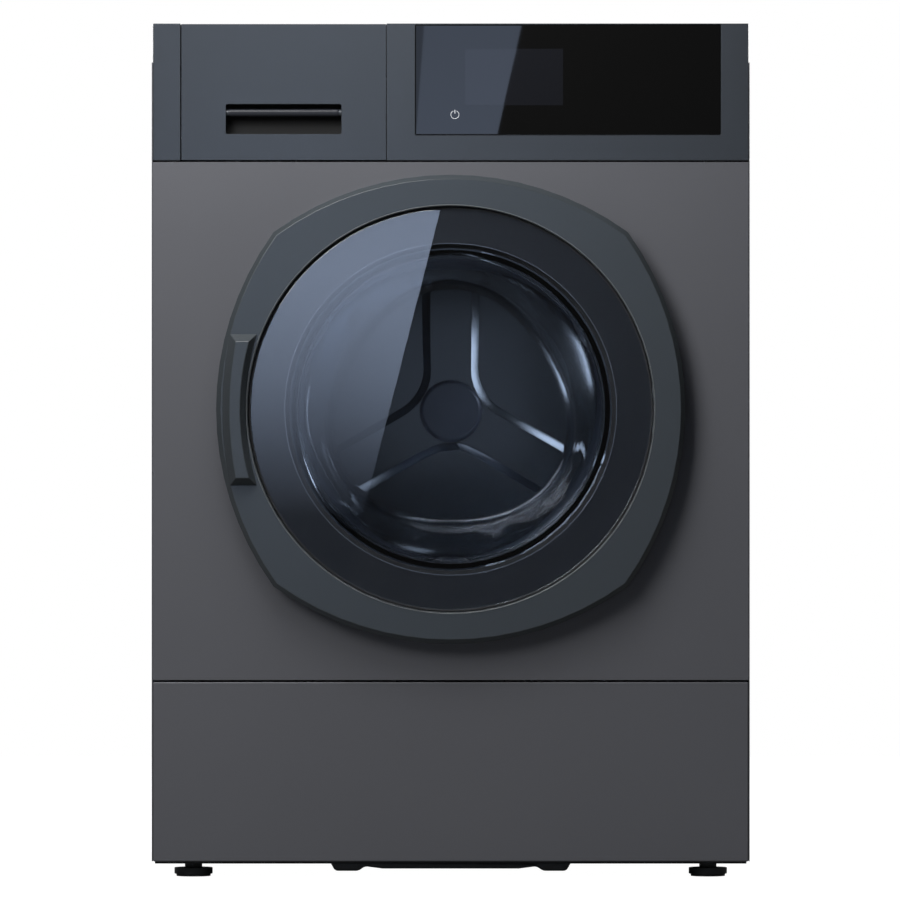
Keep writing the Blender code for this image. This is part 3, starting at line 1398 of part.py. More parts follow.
def tub_half_front():
    """Front half of the tub with the collar for the gasket and the sump that holds the heater."""
    outer, inner = TUB_RADIUS, TUB_RADIUS - TUB_WALL
    split = TUB_SPLIT_Y - GAP
    front = TUB_FRONT_Y
    profile = [
        (outer + TUB_FLANGE, split),
        (outer + TUB_FLANGE, split - TUB_FLANGE_WIDTH),
        (outer, split - TUB_FLANGE_WIDTH),
        (outer, front + TUB_CORNER),
        (outer - TUB_CORNER, front),
        (COLLAR_RADIUS, front),
        (COLLAR_RADIUS, front - COLLAR_LENGTH),
        (COLLAR_RADIUS - COLLAR_WALL, front - COLLAR_LENGTH),
        (COLLAR_RADIUS - COLLAR_WALL, front + TUB_WALL),
        (inner - TUB_CORNER, front + TUB_WALL),
        (inner, front + TUB_CORNER + TUB_WALL),
        (inner, split),
    ]
    half = turned("tub_front", (0, DOOR_Z), profile, "Y", TUB_PLASTIC)
    sump_y = (SUMP_FRONT_Y, SUMP_FRONT_Y + SUMP_LENGTH)
    wall = SUMP_WALL
    cover_z = DOOR_Z - math.sqrt(inner**2 - SUMP_HALF**2)
    sump = box("sump", (-SUMP_HALF, SUMP_HALF), sump_y, (SUMP_BOTTOM, cover_z))
    hollow = box(
        "sump_hollow",
        (-SUMP_HALF + wall, SUMP_HALF - wall),
        (sump_y[0] + wall, sump_y[1] - wall),
        (SUMP_BOTTOM + wall, cover_z + OVERRUN),
    )
    core = rod(
        "tub_core",
        (0, DOOR_Z),
        inner - GAP,
        front + TUB_CORNER + TUB_WALL,
        split - wall,
        "Y",
        None,
        FINE_STEPS,
    )
    slot_half = HEATER_HALF + HEATER_TUBE + 2 * GAP
    slot = box(
        "heater_slot",
        (-slot_half, slot_half),
        (sump_y[0] - OVERRUN, sump_y[0] + OVERRUN),
        (HEATER_Z - HEATER_TUBE - 2 * GAP, HEATER_Z + HEATER_TUBE + 2 * GAP),
    )
    join(half, sump)
    cut(half, core, hollow, slot)


def tub_half_rear():
    """Rear half of the tub: bearing housing, ribs, spring lugs and the seat for the motor."""
    outer, inner = TUB_RADIUS, TUB_RADIUS - TUB_WALL
    rear = TUB_REAR_Y
    profile = [
        (outer + TUB_FLANGE, TUB_SPLIT_Y),
        (inner, TUB_SPLIT_Y),
        (inner, rear - TUB_CORNER - TUB_WALL),
        (inner - TUB_CORNER, rear - TUB_WALL),
        (BEARING_RADIUS, rear - TUB_WALL),
        (BEARING_RADIUS, HUB_REAR_Y),
        (HUB_RADIUS - TUB_CORNER, HUB_REAR_Y),
        (HUB_RADIUS, rear + TUB_CORNER),
        (HUB_RADIUS + TUB_CORNER, rear),
        (outer - TUB_CORNER, rear),
        (outer, rear - TUB_CORNER),
        (outer, TUB_SPLIT_Y + TUB_FLANGE_WIDTH),
        (outer + TUB_FLANGE, TUB_SPLIT_Y + TUB_FLANGE_WIDTH),
    ]
    half = turned("tub_rear", (0, DOOR_Z), profile, "Y", TUB_PLASTIC)
    ribs = []
    for i in range(TUB_RIBS):
        turn = Matrix.Rotation(2 * math.pi * i / TUB_RIBS, 4, "Y")
        rib = box(
            "tub_rib",
            (-TUB_RIB_WIDTH / 2, TUB_RIB_WIDTH / 2),
            (rear - TUB_WALL / 2, rear + TUB_RIB_DEPTH),
            (HUB_RADIUS - TUB_CORNER, outer - 2 * TUB_CORNER),
        )
        rib.data.transform(Matrix.Translation((0, 0, DOOR_Z)) @ turn)
        ribs.append(rib)
    reach_in = math.sqrt(outer**2 - (LUG_Z + LUG_THICK - DOOR_Z) ** 2) - TUB_WALL / 2
    lugs = [
        box(
            "spring_lug",
            sorted((side * reach_in, side * LUG_REACH)),
            (BRACE_Y - LUG_WIDTH / 2 + TUB_CORNER, BRACE_Y + LUG_WIDTH / 2 + TUB_CORNER),
            (LUG_Z, LUG_Z + LUG_THICK),
        )
        for side in (-1, 1)
    ]
    toward = Vector((MOTOR_X, MOTOR_Z - DOOR_Z))
    seat_near = MOTOR_RADIUS + GAP
    seat_far = toward.length - (outer - TUB_WALL / 2)
    turn = Matrix.Rotation(math.atan2(toward.x, toward.y), 4, "Y")
    lug_y = (MOTOR_FRONT_Y + MOTOR_LUG_WIDTH, rear - TUB_CORNER - TUB_WALL / 2)
    motor_lug = box(
        "motor_lug", (-MOTOR_LUG_HALF, MOTOR_LUG_HALF), lug_y, (-seat_far, -seat_near)
    )
    motor_lug.data.transform(Matrix.Translation((MOTOR_X, 0, MOTOR_Z)) @ turn)
    motor_clear = rod(
        "motor_clearance",
        (MOTOR_X, MOTOR_Z),
        MOTOR_RADIUS + GAP,
        MOTOR_FRONT_Y,
        MOTOR_REAR_Y,
        "Y",
        None,
        ROUND_STEPS,
    )
    join(half, *ribs, *lugs, motor_lug)
    cut(half, motor_clear)


def counterweights():
    """The cast ring on the tub's front and the block on its top."""
    rear = TUB_FRONT_Y - GAP
    front = rear - COUNTERWEIGHT_DEPTH
    edge = COUNTERWEIGHT_EDGE
    turned(
        "front_counterweight",
        (0, DOOR_Z),
        [
            (COUNTERWEIGHT_INNER, rear),
            (COUNTERWEIGHT_INNER, front + edge),
            (COUNTERWEIGHT_INNER + edge, front),
            (COUNTERWEIGHT_OUTER - edge, front),
            (COUNTERWEIGHT_OUTER, front + edge),
            (COUNTERWEIGHT_OUTER, rear),
        ],
        "Y",
        CONCRETE,
    )
    half = TOP_WEIGHT_HALF
    y = (TOP_WEIGHT_Y - TOP_WEIGHT_LENGTH / 2, TOP_WEIGHT_Y + TOP_WEIGHT_LENGTH / 2)
    corner = half / 5
    low = TOP_WEIGHT_TOP - TOP_WEIGHT_DEPTH
    outline = [
        (-half, low),
        (half, low),
        (half, TOP_WEIGHT_TOP - corner),
        (half - corner, TOP_WEIGHT_TOP),
        (corner - half, TOP_WEIGHT_TOP),
        (-half, TOP_WEIGHT_TOP - corner),
    ]
    block = plate("top_counterweight", [outline], *y, "Y", CONCRETE)
    seat = rod(
        "weight_seat", (0, DOOR_Z), TUB_RADIUS + GAP, y[0] - OVERRUN, y[1] + OVERRUN, "Y", None, FINE_STEPS
    )
    cut(block, seat)


def heater():
    """A bent heating tube in the sump, on a flange outside the sump's wall."""
    front = SUMP_FRONT_Y - GAP
    back = SUMP_FRONT_Y + HEATER_LENGTH
    arc_points = 8
    points = [(-HEATER_HALF, front - HEATER_FLANGE_THICK / 2, HEATER_Z), (-HEATER_HALF, back, HEATER_Z)]
    for i in range(1, arc_points):
        angle = math.pi * i / arc_points
        points.append(
            (-HEATER_HALF * math.cos(angle), back + HEATER_HALF * math.sin(angle), HEATER_Z)
        )
    points += [(HEATER_HALF, back, HEATER_Z), (HEATER_HALF, front - HEATER_FLANGE_THICK / 2, HEATER_Z)]
    element = tube("heater", points, HEATER_TUBE, STAINLESS)
    flange = box(
        "heater_flange",
        (-HEATER_FLANGE_HALF, HEATER_FLANGE_HALF),
        (front - HEATER_FLANGE_THICK, front),
        (HEATER_Z - HEATER_FLANGE_HEIGHT / 2, HEATER_Z + HEATER_FLANGE_HEIGHT / 2),
    )
    join(element, flange)


def star_outline():
    """The three-armed star, with hollow fillets between the arms. One arm points straight up."""
    half, fillet = STAR_ARM_HALF, STAR_FILLET
    step = 2 * math.pi / STAR_ARMS
    corner_reach = (half + fillet) / math.sin(step / 2)
    arc_points = 6
    points = []
    for arm in range(STAR_ARMS):
        up = math.pi / 2 - step * arm
        along = Vector((math.cos(up), math.sin(up)))
        across = Vector((along.y, -along.x))
        for share in (-1, -0.6, 0.6, 1):
            tip = STAR_REACH - half * (STAR_TIP_SHARE if abs(share) == 1 else 0)
            points.append(tuple(along * tip + across * half * share))
        valley = up - step / 2
        centre = Vector((math.cos(valley), math.sin(valley))) * corner_reach
        begin = math.atan2(-across.y, -across.x)
        for i in range(arc_points + 1):
            angle = begin + (math.pi - step) * i / arc_points
            points.append(tuple(centre + Vector((math.cos(angle), math.sin(angle))) * fillet))
    return [(x, DOOR_Z + z) for x, z in points]


def lifter_block(name, middle_y, inset, turn):
    """A lifter's sloped block, drawn in by the inset on its sides and crest and turned about the drum."""
    shape = bmesh.new()
    bmesh.ops.create_cube(shape, size=1)
    for vert in shape.verts:
        low = vert.co.z < 0
        vert.co.x *= (LIFTER_BASE if low else LIFTER_CREST) - 2 * inset
        vert.co.y = middle_y + vert.co.y * (LIFTER_LENGTH - 2 * inset - (0 if low else 2 * LIFTER_SLOPE))
        vert.co.z = -(DRUM_RADIUS + LIFTER_ROUND) if low else -(DRUM_RADIUS - LIFTER_HEIGHT + inset)
    bmesh.ops.transform(shape, matrix=Matrix.Translation((0, 0, DOOR_Z)) @ turn, verts=shape.verts)
    mesh = bpy.data.meshes.new(name)
    shape.to_mesh(mesh)
    shape.free()
    return place(name, mesh)


def drum():
    """Drum shell with its lifters, back wall with the star, hub cap, spider with shaft, and pulley."""
    centre = (0, DOOR_Z)
    front, back, wall = DRUM_FRONT_Y, DRUM_BACK_Y, DRUM_WALL
    profile = [
        (DRUM_MOUTH_RADIUS, front + DRUM_LIP),
        (DRUM_MOUTH_RADIUS, front),
        (DRUM_RADIUS - DRUM_SHOULDER, front),
        (DRUM_RADIUS, front + DRUM_SHOULDER),
        (DRUM_RADIUS, back),
        (DRUM_RADIUS - wall, back),
        (DRUM_RADIUS - wall, front + DRUM_SHOULDER + wall / 2),
        (DRUM_RADIUS - DRUM_SHOULDER - wall / 2, front + wall),
        (DRUM_MOUTH_RADIUS + wall, front + wall),
        (DRUM_MOUTH_RADIUS + wall, front + DRUM_LIP),
    ]
    shell = turned("drum_shell", centre, profile, "Y", STAINLESS)
    middle_y = (front + back) / 2
    seat = DRUM_RADIUS - wall / 2
    seat_round = turned("lifter_seat", centre, [(0, front), (seat, front), (seat, back), (0, back)])
    lifters, hollows = [], []
    for i in range(LIFTERS):
        turn = Matrix.Rotation(2 * math.pi * i / LIFTERS, 4, "Y")
        lifter = soften(lifter_block("drum_lifter", middle_y, 0, turn), LIFTER_ROUND)
        lifters.append(combine(lifter, [seat_round], "INTERSECT"))
        hollows.append(soften(lifter_block("lifter_hollow", middle_y, wall, turn), LIFTER_ROUND))
    join(shell, *lifters)
    cut(shell, *hollows)
    disc = turned(
        "drum_back",
        centre,
        [
            (0, back + GAP),
            (DRUM_RADIUS, back + GAP),
            (DRUM_RADIUS, back + GAP + wall),
            (0, back + GAP + wall),
        ],
        "Y",
        STAINLESS,
    )
    star = plate("star", [star_outline()], back - STAR_RISE, back + GAP + wall / 2)
    soften(star, STAR_BEVEL)
    join(disc, star)
    star_face = back - STAR_RISE
    turned(
        "hub_cap",
        centre,
        [
            (0, star_face - GAP),
            (CAP_RADIUS, star_face - GAP),
            (CAP_RADIUS, star_face - CAP_RISE + CAP_EDGE),
            (CAP_RADIUS - CAP_EDGE, star_face - CAP_RISE),
            (0, star_face - CAP_RISE - CAP_EDGE / 2),
        ],
        "Y",
        BLACK_PLASTIC,
        ROUND_STEPS,
    )
    spider_front = back + 2 * GAP + wall
    spider_back = spider_front + SPIDER_THICK
    spider = turned(
        "drum_spider",
        centre,
        [
            (0, spider_front),
            (SPIDER_HUB_RADIUS, spider_front),
            (SPIDER_HUB_RADIUS, spider_front + SPIDER_THICK / 2),
            (BEARING_RADIUS / 2 + SHAFT_RADIUS / 2, spider_back),
            (SHAFT_RADIUS, spider_back),
            (SHAFT_RADIUS, SHAFT_END_Y - SHAFT_CLEAR),
            (0, SHAFT_END_Y),
        ],
        "Y",
        CAST,
        ROUND_STEPS,
    )
    arms = []
    reach = DRUM_RADIUS - DRUM_SHOULDER
    for i in range(STAR_ARMS):
        shape = bmesh.new()
        bmesh.ops.create_cube(shape, size=1)
        for vert in shape.verts:
            inner = vert.co.z < 0
            vert.co.x *= 2 * (SPIDER_ARM_HALF if inner else SPIDER_TIP_HALF)
            vert.co.z = SPIDER_HUB_RADIUS / 2 if inner else reach
            shallow = SPIDER_THICK * (SPIDER_ROOT_SHARE if inner else SPIDER_TIP_SHARE)
            vert.co.y = spider_front if vert.co.y < 0 else spider_front + shallow
        turn = Matrix.Rotation(2 * math.pi * i / STAR_ARMS, 4, "Y")
        bmesh.ops.transform(shape, matrix=Matrix.Translation((0, 0, DOOR_Z)) @ turn, verts=shape.verts)
        mesh = bpy.data.meshes.new("spider_arm")
        shape.to_mesh(mesh)
        shape.free()
        arms.append(place("spider_arm", mesh))
    join(spider, *arms)
    web_low = PULLEY_FRONT_Y + (PULLEY_WIDTH - PULLEY_WEB) / 2
    web_high = web_low + PULLEY_WEB
    rim = PULLEY_RADIUS - PULLEY_RIM
    bore = SHAFT_RADIUS + GAP
    pulley = turned(
        "drum_pulley",
        centre,
        [
            (PULLEY_RADIUS, PULLEY_FRONT_Y),
            (rim, PULLEY_FRONT_Y),
            (rim, web_low),
            (PULLEY_HUB_RADIUS, web_low),
            (PULLEY_HUB_RADIUS, PULLEY_FRONT_Y),
            (bore, PULLEY_FRONT_Y),
            (bore, PULLEY_FRONT_Y + PULLEY_WIDTH),
            (PULLEY_HUB_RADIUS, PULLEY_FRONT_Y + PULLEY_WIDTH),
            (PULLEY_HUB_RADIUS, web_high),
            (rim, web_high),
            (rim, PULLEY_FRONT_Y + PULLEY_WIDTH),
            (PULLEY_RADIUS, PULLEY_FRONT_Y + PULLEY_WIDTH),
        ],
        "Y",
        CAST,
    )
    holes = []
    for i in range(PULLEY_HOLES):
        angle = 2 * math.pi * i / PULLEY_HOLES
        spot = (PULLEY_HOLE_CIRCLE * math.cos(angle), DOOR_Z + PULLEY_HOLE_CIRCLE * math.sin(angle))
        holes.append(
            rod("pulley_hole", spot, PULLEY_HOLE_RADIUS, web_low - OVERRUN, web_high + OVERRUN, "Y")
        )
    cut(pulley, *holes, solver="MANIFOLD")


def bearing():
    """The sleeve that carries the two ball bearings in the tub's back."""
    front = TUB_REAR_Y - TUB_WALL
    inner = SHAFT_RADIUS + SHAFT_CLEAR
    outer = BEARING_RADIUS - GAP
    turned(
        "bearing_sleeve",
        (0, DOOR_Z),
        [
            (outer, front),
            (inner + SHAFT_RADIUS / 2, front),
            (inner, front + SHAFT_RADIUS / 4),
            (inner, HUB_REAR_Y),
            (outer, HUB_REAR_Y),
        ],
        "Y",
        STAINLESS,
        ROUND_STEPS,
    )


def motor():
    """Motor case on its seat under the tub, its rotor with the small pulley, and the belt."""
    spot = (MOTOR_X, MOTOR_Z)
    clear = MOTOR_SHAFT_RADIUS + SHAFT_CLEAR
    turned(
        "motor_housing",
        spot,
        [
            (MOTOR_CAP_RADIUS, MOTOR_FRONT_Y),
            (MOTOR_RADIUS, MOTOR_FRONT_Y + MOTOR_CAP),
            (MOTOR_RADIUS, MOTOR_REAR_Y - MOTOR_CAP),
            (MOTOR_CAP_RADIUS, MOTOR_REAR_Y),
            (clear, MOTOR_REAR_Y),
            (clear, MOTOR_FRONT_Y + 2 * MOTOR_CAP),
            (0, MOTOR_FRONT_Y + 2 * MOTOR_CAP),
            (0, MOTOR_FRONT_Y),
        ][::-1],
        "Y",
        CAST,
        ROUND_STEPS,
    )
    pulley_back = PULLEY_FRONT_Y + PULLEY_WIDTH
    turned(
        "motor_pulley",
        spot,
        [
            (0, MOTOR_FRONT_Y + 2 * MOTOR_CAP + GAP),
            (MOTOR_SHAFT_RADIUS, MOTOR_FRONT_Y + 2 * MOTOR_CAP + GAP),
            (MOTOR_SHAFT_RADIUS, PULLEY_FRONT_Y),
            (MOTOR_PULLEY_RADIUS, PULLEY_FRONT_Y),
            (MOTOR_PULLEY_RADIUS, pulley_back),
            (0, pulley_back),
        ],
        "Y",
        STAINLESS,
        ROUND_STEPS,
    )
    inset = PULLEY_WIDTH * PULLEY_CROWN_SHARE
    outer = belt_loop(BELT_THICK + GAP)
    inner = belt_loop(GAP)
    plate("drive_belt", [outer, inner], PULLEY_FRONT_Y + inset, pulley_back - inset, "Y", RUBBER)


def belt_loop(offset):
    """The closed line of the belt round both pulleys, at a distance from their rims."""
    big, small = Vector((0, DOOR_Z)), Vector((MOTOR_X, MOTOR_Z))
    line = small - big
    heading = math.atan2(line.y, line.x)
    lean = math.acos((PULLEY_RADIUS - MOTOR_PULLEY_RADIUS) / line.length)
    points = []
    for centre, radius, begin, sweep, count in (
        (big, PULLEY_RADIUS + offset, heading + lean, 2 * math.pi - 2 * lean, 2 * BELT_ARC_POINTS),
        (small, MOTOR_PULLEY_RADIUS + offset, heading - lean, 2 * lean, BELT_ARC_POINTS // 2),
    ):
        reach = radius / math.cos(sweep / count / 2)
        for i in range(count):
            angle = begin + sweep * (i + 0.5) / count
            points.append((centre.x + reach * math.cos(angle), centre.y + reach * math.sin(angle)))
    return points


def suspension():
    """Springs from the brace to the tub's lugs, and dampers from the base pan to the tub."""
    spring_top = SIDE_TOP - GAP - BRACE_DROP - BRACE_HEIGHT - GAP
    spring_low = LUG_Z + LUG_THICK + GAP
    coil_low, coil_high = spring_low + SPRING_TAIL, spring_top - SPRING_TAIL
    count = SPRING_TURNS * SPRING_TURN_POINTS
    y = BRACE_Y
    for side, word in ((-1, "left"), (1, "right")):
        points = [(side * SPRING_X, y, spring_low), (side * SPRING_X, y, coil_low - SPRING_TAIL / 2)]
        for i in range(count + 1):
            angle = 2 * math.pi * i / SPRING_TURN_POINTS
            z = coil_low + (coil_high - coil_low) * i / count
            points.append(
                (side * SPRING_X + SPRING_RADIUS * math.cos(angle), y + SPRING_RADIUS * math.sin(angle), z)
            )
        points += [(side * SPRING_X, y, coil_high + SPRING_TAIL / 2), (side * SPRING_X, y, spring_top)]
        tube("suspension_spring_" + word, points, SPRING_WIRE, STAINLESS, 0)
        foot_z = CABINET_BOTTOM + BASE_WALL + GAP
        spot = (side * DAMPER_X, DAMPER_Y)
        turned(
            "damper_cylinder_" + word,
            spot,
            [
                (0, foot_z),
                (DAMPER_FOOT, foot_z),
                (DAMPER_FOOT, foot_z + BASE_WALL),
                (DAMPER_RADIUS, foot_z + 2 * BASE_WALL),
                (DAMPER_RADIUS, DAMPER_TOP),
                (DAMPER_BORE, DAMPER_TOP),
                (DAMPER_BORE, DAMPER_BORE_LOW),
                (0, DAMPER_BORE_LOW),
            ],
            "Z",
            BLACK_PLASTIC,
            SMALL_STEPS,
        )
        near = DAMPER_X - ROD_RADIUS
        top = DOOR_Z - math.sqrt((TUB_RADIUS + GAP) ** 2 - near**2) + ROD_RADIUS
        bar = rod("damper_rod_" + word, spot, ROD_RADIUS, ROD_LOW, top, look=STAINLESS)
        trim = rod(
            "tub_clearance",
            (0, DOOR_Z),
            TUB_RADIUS + GAP,
            DAMPER_Y - 3 * ROD_RADIUS,
            DAMPER_Y + 3 * ROD_RADIUS,
            "Y",
            None,
            2 * FINE_STEPS,
        )
        cut(bar, trim)


def drain():
    """Pump with its filter, and the hoses that reach the tub."""
    spot = (PUMP_X, PUMP_Z)
    front = PUMP_FRONT_Y
    back = front + PUMP_LENGTH
    bore_end = front + PUMP_BORE_LENGTH
    pump = turned(
        "drain_pump",
        spot,
        [
            (0, back + PUMP_MOTOR_LENGTH),
            (PUMP_MOTOR_RADIUS, back + PUMP_MOTOR_LENGTH),
            (PUMP_MOTOR_RADIUS, back),
            (PUMP_RADIUS, back),
            (PUMP_RADIUS, front),
            (PUMP_BORE, front),
            (PUMP_BORE, bore_end),
            (0, bore_end),
        ],
        "Y",
        WHITE_PLASTIC,
        ROUND_STEPS,
    )
    neck = rod(
        "pump_neck", (PUMP_X, PUMP_NECK_Y), PUMP_NECK_RADIUS, PUMP_Z + PUMP_BORE + GAP, PUMP_NECK_TOP
    )
    stand_low = CABINET_BOTTOM + BASE_WALL + GAP
    stand = box(
        "pump_stand",
        (PUMP_X - PUMP_STAND_HALF, PUMP_X + PUMP_STAND_HALF),
        (front + PUMP_STAND_HALF, back),
        (stand_low, PUMP_Z - PUMP_RADIUS / 2 - PUMP_BORE / 2),
    )
    join(pump, neck, stand)
    bar_front = front - GAP - FILTER_KNOB_THICK
    knob = turned(
        "pump_filter",
        spot,
        [
            (0, front + FILTER_LENGTH),
            (FILTER_RADIUS * 0.9, front + FILTER_LENGTH),
            (FILTER_RADIUS, front + FILTER_LENGTH * 0.2),
            (FILTER_RADIUS, front - GAP),
            (FILTER_KNOB_RADIUS, front - GAP),
            (FILTER_KNOB_RADIUS, bar_front + FILTER_KNOB_THICK / 3),
            (FILTER_KNOB_RADIUS * 0.94, bar_front),
            (0, bar_front),
        ],
        "Y",
        DARK_PLASTIC,
        ROUND_STEPS,
    )
    bar = box(
        "filter_bar",
        (PUMP_X - FILTER_KNOB_RADIUS * 0.8, PUMP_X + FILTER_KNOB_RADIUS * 0.8),
        (bar_front - FILTER_BAR_RISE, bar_front + FILTER_KNOB_THICK / 2),
        (PUMP_Z - FILTER_BAR_HALF, PUMP_Z + FILTER_BAR_HALF),
    )
    soften(bar, FILTER_BAR_HALF / 3)
    join(knob, bar)
    hose_top = SUMP_BOTTOM - GAP
    hose_low = PUMP_NECK_TOP + GAP
    start_y = SUMP_FRONT_Y + HOSE_RADIUS + 2 * SUMP_WALL
    start_x = SUMP_HALF - HOSE_RADIUS - SUMP_WALL
    points = []
    for i in range(HOSE_POINTS + 1):
        share = i / HOSE_POINTS
        eased = ease(share)
        points.append(
            (
                start_x + (PUMP_X - start_x) * eased,
                start_y + (PUMP_NECK_Y - start_y) * eased,
                hose_top + (hose_low - hose_top) * share,
            )
        )
    tube("sump_hose", points, HOSE_RADIUS, RUBBER)


def water_inlet(siphon_x, siphon_y, housing_back):
    """Inlet valve on the rear panel, its hose to the housing, the hose to the tub, and the lead gland."""
    body_back = REAR_SHEET_Y - SHEET - GAP
    half = VALVE_BODY / 2
    valve = box(
        "inlet_valve",
        (VALVE_X - half, VALVE_X + half),
        (body_back - VALVE_LENGTH, body_back),
        (VALVE_Z - half, VALVE_Z + half),
        WHITE_PLASTIC,
    )
    soften(valve, VALVE_BODY / 12)
    stub = rod("valve_stub", (VALVE_X, VALVE_Z), VALVE_STUB_RADIUS, body_back - half, BACK_Y, "Y")
    bore = rod("valve_bore", (VALVE_X, VALVE_Z), VALVE_BORE_RADIUS, body_back, BACK_Y + OVERRUN, "Y")
    join(valve, stub)
    cut(valve, bore)
    hose_start, hose_end = body_back - VALVE_LENGTH - GAP, housing_back + GAP
    end_x = (DRAWER_LEFT + DRAWER_RIGHT) / 2
    points = []
    for i in range(HOSE_POINTS + 1):
        share = i / HOSE_POINTS
        eased = ease(share)
        points.append(
            (
                VALVE_X + (end_x - VALVE_X) * eased,
                hose_start + (hose_end - hose_start) * share,
                VALVE_Z + (INLET_HOSE_Z - VALVE_Z) * eased + HOSE_SWAY * math.sin(math.pi * eased) ** 2,
            )
        )
    tube("inlet_hose", points, INLET_HOSE_RADIUS, RUBBER)
    hose_top = HOUSING_FLOOR_Z - GAP
    near = abs(siphon_x) - HOSE_RADIUS
    tub_top = DOOR_Z + math.sqrt((TUB_RADIUS + GAP) ** 2 - near**2)
    length = hose_top - tub_top + HOSE_RADIUS
    hose = rod(
        "dispenser_hose",
        (siphon_x, siphon_y),
        HOSE_RADIUS,
        hose_top - length - HOSE_RADIUS,
        hose_top,
        look=RUBBER,
    )
    trim = rod(
        "tub_trim",
        (0, DOOR_Z),
        TUB_RADIUS + GAP,
        TUB_FRONT_Y - OVERRUN,
        TUB_REAR_Y,
        "Y",
        None,
        2 * FINE_STEPS,
    )
    cut(hose, trim)
    flange_y = REAR_SHEET_Y + GAP
    turned(
        "mains_gland",
        (GLAND_X, GLAND_Z),
        [
            (GLAND_BORE, flange_y - 2 * GLAND_FLANGE_THICK),
            (GLAND_BORE, BACK_Y),
            (GLAND_RADIUS * 0.8, BACK_Y),
            (GLAND_RADIUS, flange_y + GLAND_FLANGE_THICK),
            (GLAND_FLANGE, flange_y + GLAND_FLANGE_THICK),
            (GLAND_FLANGE, flange_y),
            (GLAND_RADIUS, flange_y),
            (GLAND_RADIUS, flange_y - 2 * GLAND_FLANGE_THICK),
        ],
        "Y",
        BLACK_PLASTIC,
        SMALL_STEPS,
    )


def pivot(name, spot, *nodes):
    """An empty on a joint's axis, as the parent of the pieces that move with it."""
    empty = bpy.data.objects.new(name, None)
    empty.empty_display_size = PIVOT_SIZE
    empty.location = spot
    PARTS.objects.link(empty)
    bpy.context.view_layer.update()
    for node in nodes:
        piece = bpy.data.objects[node]
        piece.parent = empty
        piece.matrix_parent_inverse = empty.matrix_world.inverted()
    return empty


def pivots():
    """One empty for each moving group, carrier first."""
    tub = pivot(
        "tub_pivot",
        (0, 0, DOOR_Z),
        *("tub_front", "tub_rear", "front_counterweight", "top_counterweight", "bearing_sleeve", "heater"),
        *("motor_housing", "drive_belt", "damper_rod_left", "damper_rod_right"),
    )
    turning = ("drum_shell", "drum_back", "hub_cap", "drum_spider", "drum_pulley")
    drum_axis = pivot("drum_pivot", (0, PULLEY_FRONT_Y, DOOR_Z), *turning)
    rotor_axis = pivot("motor_pivot", (MOTOR_X, PULLEY_FRONT_Y, MOTOR_Z), "motor_pulley")
    pieces = ("door_ring", "door_handle", "door_glass", "door_bowl", "door_inner_frame", "hinge_leaf")
    door = pivot("door_pivot", (HINGE_X, HINGE_Y, DOOR_Z), *pieces)
    hook = pivot("latch_pivot", (LATCH_X, LATCH_Y, DOOR_Z), "latch_hook")
    for carrier, carried in ((tub, drum_axis), (tub, rotor_axis), (door, hook)):
        carried.parent = carrier
        carried.matrix_parent_inverse = carrier.matrix_world.inverted()
    pivot("drawer_pivot", (DRAWER_LEFT, FRONT_Y, DOOR_Z), "drawer_front", "drawer_tray", "siphon_cap")
    pivot("kick_pivot", (0, KICK_AXIS_Y, KICK_AXIS_Z), "kick_panel")
    pivot("filter_pivot", (PUMP_X, FRONT_Y, PUMP_Z), "pump_filter")
    for end, y in (("front", FOOT_FRONT_Y), ("rear", FOOT_REAR_Y)):
        for side, x in (("left", -FOOT_X), ("right", FOOT_X)):
            pivot(f"foot_{end}_{side}_pivot", (x, y, 0), f"foot_{end}_{side}")


def main():
    """Build every piece, from the outside in."""
    cabinet_sheets()
    base()
    front_and_kick_panels()
    control_band()
    siphon_x, siphon_y, housing_back = dispenser()
    door_ring()
    door_handle()
    door_inside()
    hinge_bracket()
    door_lock()
    gasket()
    tub_half_front()
    tub_half_rear()
    counterweights()
    heater()
    drum()
    bearing()
    motor()
    suspension()
    drain()
    water_inlet(siphon_x, siphon_y, housing_back)
    pivots()
    bpy.context.view_layer.update()


main()
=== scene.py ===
"""Finished look of the front-loading washing machine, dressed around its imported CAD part.

Every piece stands where its CAD node stands, in metres, +Z up and the front facing -Y.
"""

from __future__ import annotations

import json
import logging
import math
from dataclasses import dataclass
from enum import Enum
from typing import Callable, Sequence

import bpy
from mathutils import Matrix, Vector


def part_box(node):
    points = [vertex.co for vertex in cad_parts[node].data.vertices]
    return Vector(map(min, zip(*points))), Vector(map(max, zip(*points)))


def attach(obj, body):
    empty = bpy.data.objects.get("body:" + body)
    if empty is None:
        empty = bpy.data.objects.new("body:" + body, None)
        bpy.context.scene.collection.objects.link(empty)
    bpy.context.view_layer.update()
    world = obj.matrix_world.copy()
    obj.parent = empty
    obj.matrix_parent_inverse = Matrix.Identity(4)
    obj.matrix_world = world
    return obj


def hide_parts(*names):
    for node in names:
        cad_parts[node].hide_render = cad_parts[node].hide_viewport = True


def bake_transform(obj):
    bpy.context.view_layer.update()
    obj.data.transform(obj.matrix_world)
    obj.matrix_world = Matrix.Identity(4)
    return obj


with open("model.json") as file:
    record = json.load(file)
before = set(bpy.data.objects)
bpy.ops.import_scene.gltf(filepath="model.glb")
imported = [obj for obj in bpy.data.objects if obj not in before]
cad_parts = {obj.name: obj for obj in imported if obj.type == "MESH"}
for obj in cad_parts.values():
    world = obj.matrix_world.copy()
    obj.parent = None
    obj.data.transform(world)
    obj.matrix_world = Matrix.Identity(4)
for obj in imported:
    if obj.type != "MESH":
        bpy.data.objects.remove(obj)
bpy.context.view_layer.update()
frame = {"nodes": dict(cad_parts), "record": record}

LOG = logging.getLogger("washing_machine")
Colour = tuple[float, float, float]
Point = tuple[float, float, float]
Profile = Sequence[tuple[float, float]]
